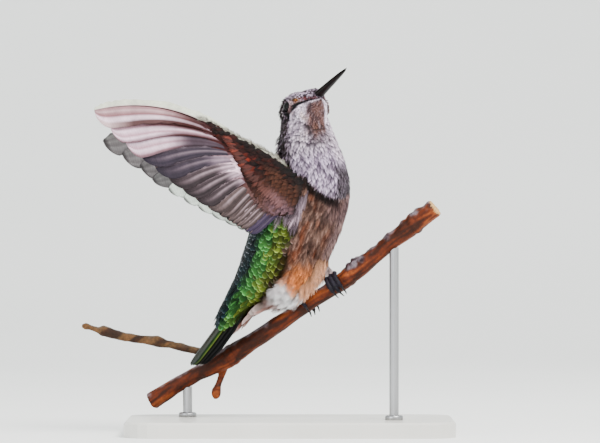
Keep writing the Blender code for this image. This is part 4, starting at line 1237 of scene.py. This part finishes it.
def coverArm(side, face, label):
    ks, roots, ways = greatRoots()
    angles = np.arctan2(ways[:, 1], ways[:, 0])
    great = dict(covert["great"], length=np.interp(ks, [0, 2, 9, 15], [9.5, 9.0, 8.4, 5.6]))
    tint = np.tile(rgb(96, 84, 78), (len(ks), 1))
    if face > 0:
        tint = layered(rgb(70, 34, 34), (rgb(222, 194, 206), band(ks, 4.4, 7.2, 1.0)),
                       (rgb(100, 76, 74), ramp(ks, 7.5, 9.5)))
        great["fringe"] = rgb(120, 98, 102)
    tint = tint * (1 + rng.normal(0, 0.06, len(ks)))[:, None]
    layCoverts("greater_%s_%s" % (side, label), side, face, roots, angles, softLeaf, great, tint)
    tint = lerp(liningTint(face, roots - ways * 1.6), rgb(110, 78, 74), 0.4 * np.ones(len(ks)))
    layCoverts("middle_%s_%s" % (side, label), side, face, roots - ways * 1.6, angles, softLeaf,
               covert["middle"], tint)
    small, gap = [], covert["small"]["gap"]
    for row, u in enumerate(np.arange(26.0, -1.2, -gap)):
        start = np.interp(u, armRun, armLead) + 0.15 + gap / 2 * (row % 2)
        stop = np.interp(u, armRun, armTrail) - np.interp(u, [0, 6], [3.0, 1.2])
        for v in np.arange(start, stop, gap):
            small.append((u + rng.uniform(-0.2, 0.2), v + rng.uniform(-0.2, 0.2)))
    small = np.array(small)
    angles = lieInPlan(small) + rng.normal(0, 0.12, len(small))
    layCoverts("lining_%s_%s" % (side, label), side, face, small, angles, tinyLeaf, covert["small"],
               liningTint(face, small))


flightMaterial = plumageMaterial("flight_feather", 0.5, 44.0, 0.00003, 0.12)
for side, _ in bothSides:
    made = [flightFeather(side, k) for k in range(wing["count"])]
    for label, group in (("primaries", made[:wing["primaries"]]), ("secondaries", made[wing["primaries"]:])):
        joinFeathers("flight_%s_%s" % (side, label), group, lambda verts: wingUv(side, verts), flightMaterial,
                     "wing", "wing_%s_%s" % (side, label))
    armVerts, armFaces, armNormals = fuseNodes("arm", ("wing_%s_arm" % side,), 0.0, 0.35 * mm, 2)
    armVerts = armVerts - armNormals * 0.25 * mm
    armSkin = objectFrom("wing_skin_" + side, armVerts, armFaces)
    still = np.zeros(armVerts.shape)
    addPaint(armSkin, still + rgb(60, 40, 36), still, wingUv(side, armVerts))
    finishPiece(armSkin, featherMaterial, "wing", "wing_%s_arm" % side)
    coverArm(side, 1, "under")
    coverArm(side, -1, "upper")
    # loose barbs all along the leading edge of the arm, painted pale as rim light from behind
    run = np.arange(5.0, 29.0, 0.32)
    roots = np.stack([run, np.interp(run, armRun, armLead) + 0.3 + rng.uniform(-0.2, 0.2, len(run))], 1)
    tint = layered(rgb(204, 202, 190), (rgb(150, 132, 122), ramp(rng.normal(0, 1, len(run)), 0, 2)))
    angles = rng.normal(-0.32, 0.1, len(run))
    layCoverts("edge_" + side, side, 1, roots, angles, softFan, covert["edge"], tint)


tail = {"pairs": 5, "back": 5.5, "halfWide": 1.4, "step": 0.3, "spread": 0.62, "slope": 0.1,
        "outline": ([0, 0.3, 0.62, 0.86, 1], [0.85, 1.05, 1.05, 0.78, 0.45]),
        # the middle pair's grey is painted sheen
        "colours": (rgb(84, 88, 80), rgb(62, 92, 50), rgb(30, 30, 24), rgb(14, 13, 13), rgb(14, 13, 13))}
tailVerts = nodeVerts("tail")
tailMiddle = tailVerts.mean(0)
tailFrame = np.linalg.svd(tailVerts - tailMiddle, full_matrices=False)[2]
tailAlong = tailFrame[0] * np.sign(dot(tailFrame[0], tailMiddle - tailRoot))
tailDorsal = tailFrame[2] * np.sign(dot(tailFrame[2], spineBack[0]))
tailAcross = np.cross(tailAlong, tailDorsal)
tailAcross = tailAcross * np.sign(dot(tailAcross, spineRight[0]))
tailReach = dot(tailVerts - tailMiddle, tailAlong)
tailStart = tailMiddle + tailAlong * tailReach.min()
tailLength = (tailReach.max() - tailReach.min()) / mm


def tailFeather(pair, side):
    # pair 0 is the middle one, lying over the others
    t = tipSteps(0.85, 18, 11)
    u = -tail["back"] + (tailLength * (1.03 - 0.03 * pair) + tail["back"]) * t
    v = side * (0.35 + pair * tail["spread"] * np.interp(t, *tail["outline"]))
    closing = closingAt(t, 0.84, 0.165, 2.2) * (0.5 + 0.5 * ramp(t, 0, 0.2))
    w = np.array([-1, -0.7, -0.4, -0.12, 0, 0.12, 0.4, 0.7, 1.0])
    offset = w[None] * closing[:, None] * (tail["halfWide"] * (1.0 if pair < 4 else 0.85))
    height = 1.1 - tail["step"] * pair - 0.05 * (side < 0) + 0.9 * (1 - t[:, None])
    lift = height - (0.10 * (v[:, None] + offset) ** 2) + side * offset * tail["slope"] - 0.35 * t[:, None]
    axes = (tailAlong, tailAcross, tailDorsal)
    along, sideways = np.broadcast_to(u[:, None], offset.shape), v[:, None] + offset
    top, low = (sheetPlace(tailStart, axes, along, sideways, lift + rise) for rise in (0.04, -0.05))
    mossy = 0.7 * ramp(side * w[None], 0.8, 1.0) * np.ones(offset.shape) * (pair == 1)
    colour = layered(tail["colours"][pair], (rgb(128, 134, 62), mossy),
                     # painted sheen: blue-grey towards the tips of the middle pair and the next
                     (rgb(58, 66, 66), 0.5 * ramp(t[:, None], 0.6, 1.0) * (pair < 2)),
                     (rgb(205, 200, 198), 0.75 * ramp(t[:, None], 0.94, 0.99) * (pair > 2)))
    colour = np.clip(colour * (1 + 0.08 * rng.normal(0, 1, (len(t), 1)))[..., None], 0.003, 0.9)
    rib = sheetPlace(tailStart, axes, u, v, height[:, 0] - 0.10 * v ** 2 - 0.35 * t + 0.03)
    vane = onAll(top, t[:, None] * 2.2, w * 0.5, 0.5 if pair < 2 else 0.15)
    return sheetFeather(top, low, colour, vane, rib, np.interp(t, [0, 1], [0.2, 0.05]), rgb(56, 46, 40),
                        (0.0, 0.0, 0.0), flip=side > 0)


def tailUv(verts):
    away = verts - tailStart
    spots = [0.5 + dot(away, tailAcross) / (16 * mm), 0.3 + dot(away, tailAlong) / (36 * mm)]
    return np.clip(np.stack(spots, axis=1), 0.01, 0.99)


made = [tailFeather(pair, side) for pair in reversed(range(tail["pairs"])) for side in (1, -1)]
joinFeathers("tail_feathers", made, tailUv, featherMaterial, "plumage_green", "tail")
print("tail: %d feathers" % len(made))

bill = {"rows": 30, "sides": 11, "gape": 0.05 * mm, "station": 0.6 * mm, "rootBack": 1.5 * mm}
hornMaterial = plainMaterial("bill_horn", rgb(3, 3, 4), 0.4, rgb(16, 5, 5), 900.0, 0.00003, specular=0.08)


def mandible(name, node, turn):
    # one half of the bill: rounded outside, flat where the two halves meet
    source = nodeVerts(node)
    runs = dot(source - headCentre, headForward)
    table = []
    for run in np.unique(np.round(runs / bill["station"])) * bill["station"]:
        near = source[np.abs(runs - run) < 0.35 * mm] - headCentre
        if len(near) >= 5:
            high, wide = dot(near, headUp) * turn, np.abs(dot(near, headRight))
            table.append((run, high.min() * turn, high.max() - high.min(), wide.max()))
    table = np.array(table)
    share = np.linspace(0, 1, bill["rows"]) ** 0.9
    start = table[0, 0] - bill["rootBack"]
    run = start + (runs.max() - table[0, 0] + bill["rootBack"]) * share
    edge, height, wide = (np.interp(run, table[:, 0], table[:, c]) for c in (1, 2, 3))
    point = np.interp(share, [0, 0.08, 0.5, 0.8, 0.97, 1], [1.15, 1.04, 0.86, 0.68, 0.36, 0.06])
    height, wide = np.maximum(height, 0.2 * mm) * point, np.maximum(wide, 0.22 * mm) * point
    verts = []
    for r in range(len(run)):
        for a in np.linspace(0, math.pi, bill["sides"]):
            # the ridge is a little narrower than the sides
            rise = math.sin(a) ** 0.85
            high = edge[r] + turn * (bill["gape"] + rise * height[r])
            verts.append(headCentre + headForward * run[r] + headUp * high
                         + headRight * math.cos(a) * wide[r] * (1 - 0.12 * rise))
    quads, n = [], bill["sides"]
    for r in range(0, (len(run) - 1) * n, n):
        quads += [(a, a + 1, a + n + 1, a + n) for a in range(r, r + n - 1)]
        quads.append((r + n - 1, r, r + n, r + n + n - 1))
    obj = makeObject(name, verts, quads if turn > 0 else [q[::-1] for q in quads])
    bm = bmesh.new()
    bm.from_mesh(obj.data)
    bmesh.ops.holes_fill(bm, edges=[e for e in bm.edges if e.is_boundary])
    bmesh.ops.recalc_face_normals(bm, faces=bm.faces)
    bm.to_mesh(obj.data)
    bm.free()
    obj.data.shade_smooth()
    finishPiece(obj, hornMaterial, "bill", node)


mandible("bill_upper_half", "bill_upper", 1)
mandible("bill_lower_half", "bill_lower", -1)

eye = {"sides": 40, "rings": 28, "lidOut": 0.42, "lidWide": 0.93, "lidThick": 0.075 * mm, "lidSides": 8,
       "beads": 34}
eyeMaterial, eyeTree, eyeShader = newMaterial("eye")
setSockets(eyeTree, eyeShader, {"Base Color": paintNode(eyeTree), "Roughness": 0.08, "IOR": 1.22})
lidMaterial = plainMaterial("eyelid", rgb(30, 24, 30), 0.6, rgb(58, 48, 54), 1500.0, 0.00003, specular=0.2)
for side, sign in bothSides:
    bm = bmesh.new()
    bmesh.ops.create_uvsphere(bm, u_segments=eye["sides"], v_segments=eye["rings"], radius=eyeRadius)
    mesh = bpy.data.meshes.new("ball")
    bm.to_mesh(mesh)
    bm.free()
    ball, faces = readPoints(mesh), [tuple(p.vertices) for p in mesh.polygons]
    bpy.data.meshes.remove(mesh)
    # a ball's faces come in another order each run, so they are sorted
    faces = sorted(f[f.index(min(f)):] + f[:f.index(min(f))] for f in faces)
    outward = headRight * sign
    turned = (ball[:, 2:3] * outward + ball[:, 0:1] * headForward
              + ball[:, 1:2] * np.cross(outward, headForward))
    eyeball = objectFrom("eyeball_" + side, turned + eyeCentre[side], faces)
    addTint(eyeball, lerp(rgb(3, 3, 5), rgb(12, 9, 8), band(ball[:, 2] / eyeRadius, 0.62, 0.86, 0.03)))
    finishPiece(eyeball, eyeMaterial, "eye", "eye_" + side)
    # lids: a beaded ring of bare skin, a little almond-shaped
    angle = np.linspace(0, 2 * math.pi, 97)[:-1]
    wide = eyeRadius * eye["lidWide"] * (1 + 0.05 * np.cos(2 * angle))
    high = eyeRadius * eye["lidWide"] * (1 - 0.04 * np.cos(2 * angle))
    out = outward * eyeRadius * eye["lidOut"]
    ring = (eyeCentre[side] + out + headForward * (np.cos(angle) * wide)[:, None]
            + headUp * (np.sin(angle) * high)[:, None])
    beads = eye["lidThick"] * (1 + 0.3 * np.cos(angle * eye["beads"]))
    verts, quads, n = [], [], eye["lidSides"]
    for i in range(len(angle)):
        away = unit(ring[i] - eyeCentre[side] - out)
        for j in range(n):
            a = 2 * math.pi * j / n
            verts.append(ring[i] + (away * math.cos(a) * 1.3 + outward * math.sin(a)) * beads[i])
            b, c = i * n + j, i * n + (j + 1) % n
            d, e = (b + n) % (len(angle) * n), (c + n) % (len(angle) * n)
            quads.append((b, c, e, d) if sign > 0 else (b, d, e, c))
    finishPiece(makeObject("eyelid_" + side, verts, quads), lidMaterial, "eye", "eye_" + side)
print("bill and eyes made")

foot = {"digits": ("front_inner", "front_middle", "front_outer", "hind"), "fluff": 46,
        "toe": (0.2 * mm, 0.16 * mm, 1), "claw": (0.05 * mm, 0.1 * mm, 1), "shank": (0.0, 0.2 * mm, 2)}
toeMaterial = plainMaterial("toe_skin", rgb(8, 7, 12), 0.55, rgb(28, 24, 34), 1600.0, 0.00006, specular=0.12)
clawMaterial = plainMaterial("claw_horn", rgb(8, 7, 10), 0.4, rgb(24, 20, 24), 900.0, 0.00002, specular=0.2)
shankMaterial = plainMaterial("shank_skin", rgb(120, 100, 100), 0.55, rgb(80, 66, 68), 1400.0, 0.00005)


def smoothPiece(name, nodes, sizes, material, slotName):
    # sizes: swell, voxel and how many rounds of smoothing
    verts, faces, normals = fuseNodes(name, nodes, *sizes)
    finishPiece(objectFrom(name, verts, faces), material, slotName, *nodes)
    return verts, normals


shankFluff = dict(looks["vent"], length=2.4 * mm, width=1.5 * mm, lift=0.6 * mm)
for side, _ in bothSides:
    for kind, material, slotName in (("toe", toeMaterial, "foot"), ("claw", clawMaterial, "bill")):
        nodes = ["%s_%s_%s" % (kind, side, digit) for digit in foot["digits"]]
        smoothPiece("%ss_%s" % (kind, side), nodes, foot[kind], material, slotName)
    verts, normals = smoothPiece("shank_" + side, ["leg_" + side], foot["shank"], shankMaterial, "foot")
    chosen = rng.choice(len(verts), min(foot["fluff"], len(verts)), replace=False)
    chosen = chosen[verts[chosen, 2] > verts[:, 2].min() + 1.0 * mm]
    roots, rootNormals = verts[chosen], unit(normals[chosen])
    lie = unit(squareTo(np.tile(-up, (len(roots), 1)), rootNormals))
    tint = lerp(rgb(232, 216, 216), rgb(150, 116, 104), 0.4 * rng.random(len(roots)))
    layFeathers("fluff_" + side, roots, rootNormals, lie, looseFan, shankFluff, tint, np.zeros(len(roots)),
                "plumage_grey", ("leg_" + side,), onSkin=False)
print("feet made")

perch = {"swell": 0.05 * mm, "voxel": 0.34 * mm, "ridge": 0.10 * mm, "lumps": 26, "lumpHigh": 0.7 * mm,
         "scars": (0.31, 0.70, 0.93), "cluster": 13, "nodes": ("perch_branch", "perch_twig", "perch_stub")}
bark = {"red": rgb(108, 56, 28), "dark": rgb(60, 35, 22), "ashAndSheen": rgb(134, 126, 134),
        "lit": rgb(162, 98, 54), "lump": rgb(44, 38, 52), "twig": rgb(112, 92, 66),
        "twigDark": rgb(70, 54, 42), "sawn": rgb(196, 164, 118)}
barkVerts, barkFaces, barkNormals = fuseNodes("perch", perch["nodes"], perch["swell"], perch["voxel"], 2)
branchVerts = nodeVerts("perch_branch")
branchAlong = np.linalg.svd(branchVerts - branchVerts.mean(0), full_matrices=False)[2][0]
branchAlong = branchAlong * np.sign(branchAlong[0])
barkRun = dot(barkVerts - branchVerts.mean(0), branchAlong)
barkStart, barkEnd = barkRun.min(), barkRun.max()
alongGrain = barkVerts - branchAlong * (barkRun * 0.82)[:, None]
relief = speckle(alongGrain, 700, 4) * perch["ridge"] + speckle(barkVerts, 260, 5) * perch["ridge"] * 1.1
ringed = np.zeros(len(barkVerts))
for share in perch["scars"]:
    # a raised ring with a groove at each side, where a bud scale once stood
    gap = (barkRun - (barkStart + share * (barkEnd - barkStart))) / (0.7 * mm)
    ringed += np.exp(-gap ** 2) * 0.15 * mm - np.exp(-(np.abs(gap) - 1.6) ** 2 * 3) * 0.09 * mm
facingUp = barkNormals[:, 2]
lumpCentres = barkVerts[(barkRun > 9 * mm) & (ramp(facingUp, 0.1, 0.8) > 0.4)]
lumpCentres = lumpCentres[rng.choice(len(lumpCentres), perch["lumps"], replace=False)]
# a cluster of old bud scars stands just beyond the right foot
footEnd = max(nodeVerts("toe_right_front_%s" % d)[:, 0].max() for d in ("inner", "middle", "outer"))
beyond = (barkVerts[:, 0] > footEnd - 0.3 * mm) & (barkVerts[:, 0] < footEnd + 5.0 * mm) & (facingUp > 0.25)
cluster = barkVerts[beyond]
cluster = cluster[rng.choice(len(cluster), perch["cluster"], replace=False)]
lump = np.zeros(len(barkVerts))
# each lump's middle, its least and most width in mm, and its least and most height
knobs = [(centre, 0.75, 1.1, 0.5 * mm, 1.2 * mm) for centre in cluster]
knobs += [(centre, 0.5, 1.3, 0.35 * perch["lumpHigh"], perch["lumpHigh"]) for centre in lumpCentres]
for centre, thin, thick, low, high in knobs:
    size = rng.uniform(thin, thick) * mm
    near = np.exp(-np.sum((barkVerts - centre) ** 2, axis=1) / size ** 2)
    lump = np.maximum(lump, near * rng.uniform(low, high))
barkVerts = barkVerts + barkNormals * (relief + ringed + lump)[:, None]
blotch, streaky = speckle(alongGrain, 380, 6), speckle(alongGrain, 1300, 13)
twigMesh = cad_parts["perch_twig"].data
twigTree = treeOf(readPoints(twigMesh), [tuple(face.vertices) for face in twigMesh.polygons])
twigPart = np.array([twigTree.find_nearest(Vector(v))[3] for v in barkVerts])
tint = layered(bark["red"], (bark["dark"], 0.8 * ramp(0.7 * blotch + 0.6 * streaky, -0.05, 0.5)),
               (bark["lit"], 0.6 * ramp(-0.7 * blotch - 0.5 * streaky, 0.05, 0.5)),
               # the upward-facing top is grey, partly as lichen and partly as painted sheen of the light from
               # above; the lumps take the same grey as their own colour
               (bark["ashAndSheen"], 0.75 * ramp(facingUp + 0.35 * speckle(barkVerts, 500, 8), 0.45, 0.95)),
               (layered(bark["ashAndSheen"], (bark["lump"], ramp(-streaky, -0.1, 0.5))),
                0.8 * ramp(lump, 0.15 * mm, 0.5 * mm)),
               (bark["dark"] * 0.5, 0.6 * ramp(-ringed, 0.04 * mm, 0.12 * mm)),
               (layered(bark["twig"], (bark["twigDark"], ramp(blotch, 0, 0.4))),
                0.8 * (1 - ramp(twigPart, 0.5 * mm, 1.0 * mm))))
for end in (barkStart, barkEnd):
    # sawn ends show the wood
    tint[(np.abs(barkRun - end) < 0.8 * mm) & (np.abs(dot(barkNormals, branchAlong)) > 0.75)] = bark["sawn"]
barkPiece = objectFrom("perch_bark", barkVerts, barkFaces)
addTint(barkPiece, np.clip(tint * (1 + 0.15 * speckle(barkVerts, 1800, 9))[:, None], 0.004, 0.9))
barkMaterial, barkTree, barkShader = newMaterial("bark")
barkGrain = noiseNode(barkTree, 1400.0, 5.0, 0.65)
barkTone = rampNode(barkTree, barkGrain, 0.6, 1.35, 0.3, 0.7)
setSockets(barkTree, barkShader, {
    "Base Color": scaledColour(barkTree, paintNode(barkTree), barkTone),
    "Roughness": rampNode(barkTree, barkGrain, 0.5, 0.75, 0.3, 0.7), "Specular IOR Level": 0.15,
    "Normal": bumpNode(barkTree, barkGrain, 0.8, 0.00012)})
finishPiece(barkPiece, barkMaterial, "bark", *perch["nodes"])
print("perch made: %d faces" % len(barkFaces))

collar = {"sides": 40, "heights": (0.0, 0.0, 0.9, 1.2, 1.2), "reach": (1.0, 1.9, 1.9, 1.65, 1.0)}
lacquer = plainMaterial("stand_lacquer", rgb(206, 204, 198), 0.42, rgb(198, 196, 190), 40.0, 0.00002,
                        varnish=0.3)
steel = plainMaterial("stand_steel", rgb(168, 168, 170), 0.3, rgb(150, 150, 152), 600.0, 0.00001,
                      stretch=(1, 1, 0.03), metallic=1.0)
for name, material in (("stand_base", lacquer), ("stand_rod_left", steel), ("stand_rod_right", steel)):
    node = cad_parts[name]
    node.data.materials.clear()
    node.data.materials.append(material)
for side, _ in reversed(bothSides):
    # a plain collar where the rod enters the base
    rod = nodeVerts("stand_rod_" + side)
    centre = middle(rod[rod[:, 2] < rod[:, 2].min() + 1 * mm])
    radius = (rod[:, 0].max() - rod[:, 0].min()) / 2
    level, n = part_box("stand_base")[1][2], collar["sides"]
    verts, quads = [], []
    for height, share in zip(collar["heights"], collar["reach"]):
        reach = radius * share + 0.02 * mm
        verts += [(centre[0] + math.cos(a) * reach, centre[1] + math.sin(a) * reach, level + height * mm)
                  for a in np.arange(n) * 2 * math.pi / n]
    for i in range(0, len(verts) - n, n):
        quads += [(i + j, i + (j + 1) % n, i + n + (j + 1) % n, i + n + j) for j in range(n)]
    finishPiece(makeObject("stand_collar_" + side, verts, quads, smooth=False), steel, "stand_metal")
print("stand finished")


def makeFloor():
    # one sheet: flat in front, curving up behind
    curve = [(0.6 + 0.8 * math.sin(a), 0.8 - 0.8 * math.cos(a)) for a in np.linspace(0.1, math.pi / 2, 16)]
    profile = [(-2.5, 0.0), (0.6, 0.0), *curve, (1.4, 3.0)]
    verts = [(x, y, z) for y, z in profile for x in (-3.5, 3.5)]
    quads = [(i - 2, i - 1, i + 1, i) for i in range(2, len(verts), 2)]
    floor = makeObject("floor", verts, quads)
    material, tree, shader = newMaterial("floor")
    tone = rampNode(tree, noiseNode(tree, 3.0, 3.0), 0.97, 1.03, 0.3, 0.7)
    setSockets(tree, shader, {"Base Color": scaledColour(tree, (0.91, 0.92, 0.91), tone), "Roughness": 0.85})
    floor.data.materials.append(material)


def addLight(name, place, target, size, power, colour):
    data = bpy.data.lights.new(name, "AREA")
    data.shape = "SQUARE"
    data.size = size
    data.energy = power
    data.color = colour
    light = addObject(name, data)
    light.location = place
    light.rotation_euler = (Vector(target) - Vector(place)).to_track_quat("-Z", "Y").to_euler()


makeFloor()
addLight("key", (0.35, -0.45, 0.75), (0, 0, 0.05), 0.5, 17.0, (1.0, 0.98, 0.95))
addLight("fill", (-0.7, -0.8, 0.35), (0, 0, 0.05), 0.8, 6.0, (0.93, 0.96, 1.0))
addLight("glint", (0.30, -1.1, 0.42), (0, 0, 0.08), 0.03, 0.5, (1.0, 1.0, 1.0))
world = bpy.data.worlds.new("world")
world.use_nodes = True
sky = world.node_tree.nodes["Background"]
setSockets(world.node_tree, sky, {"Color": (0.9, 0.93, 0.92, 1), "Strength": 1.65})
bpy.context.scene.world = world

cameraData = bpy.data.cameras.new("camera")
cameraData.lens = 280.8
cameraData.sensor_width = 36
camera = addObject("camera", cameraData)
camera.location = (2.56 * mm, -1.2, 54.5 * mm)
camera.rotation_euler = (math.pi / 2, 0, 0)
bpy.context.scene.camera = camera
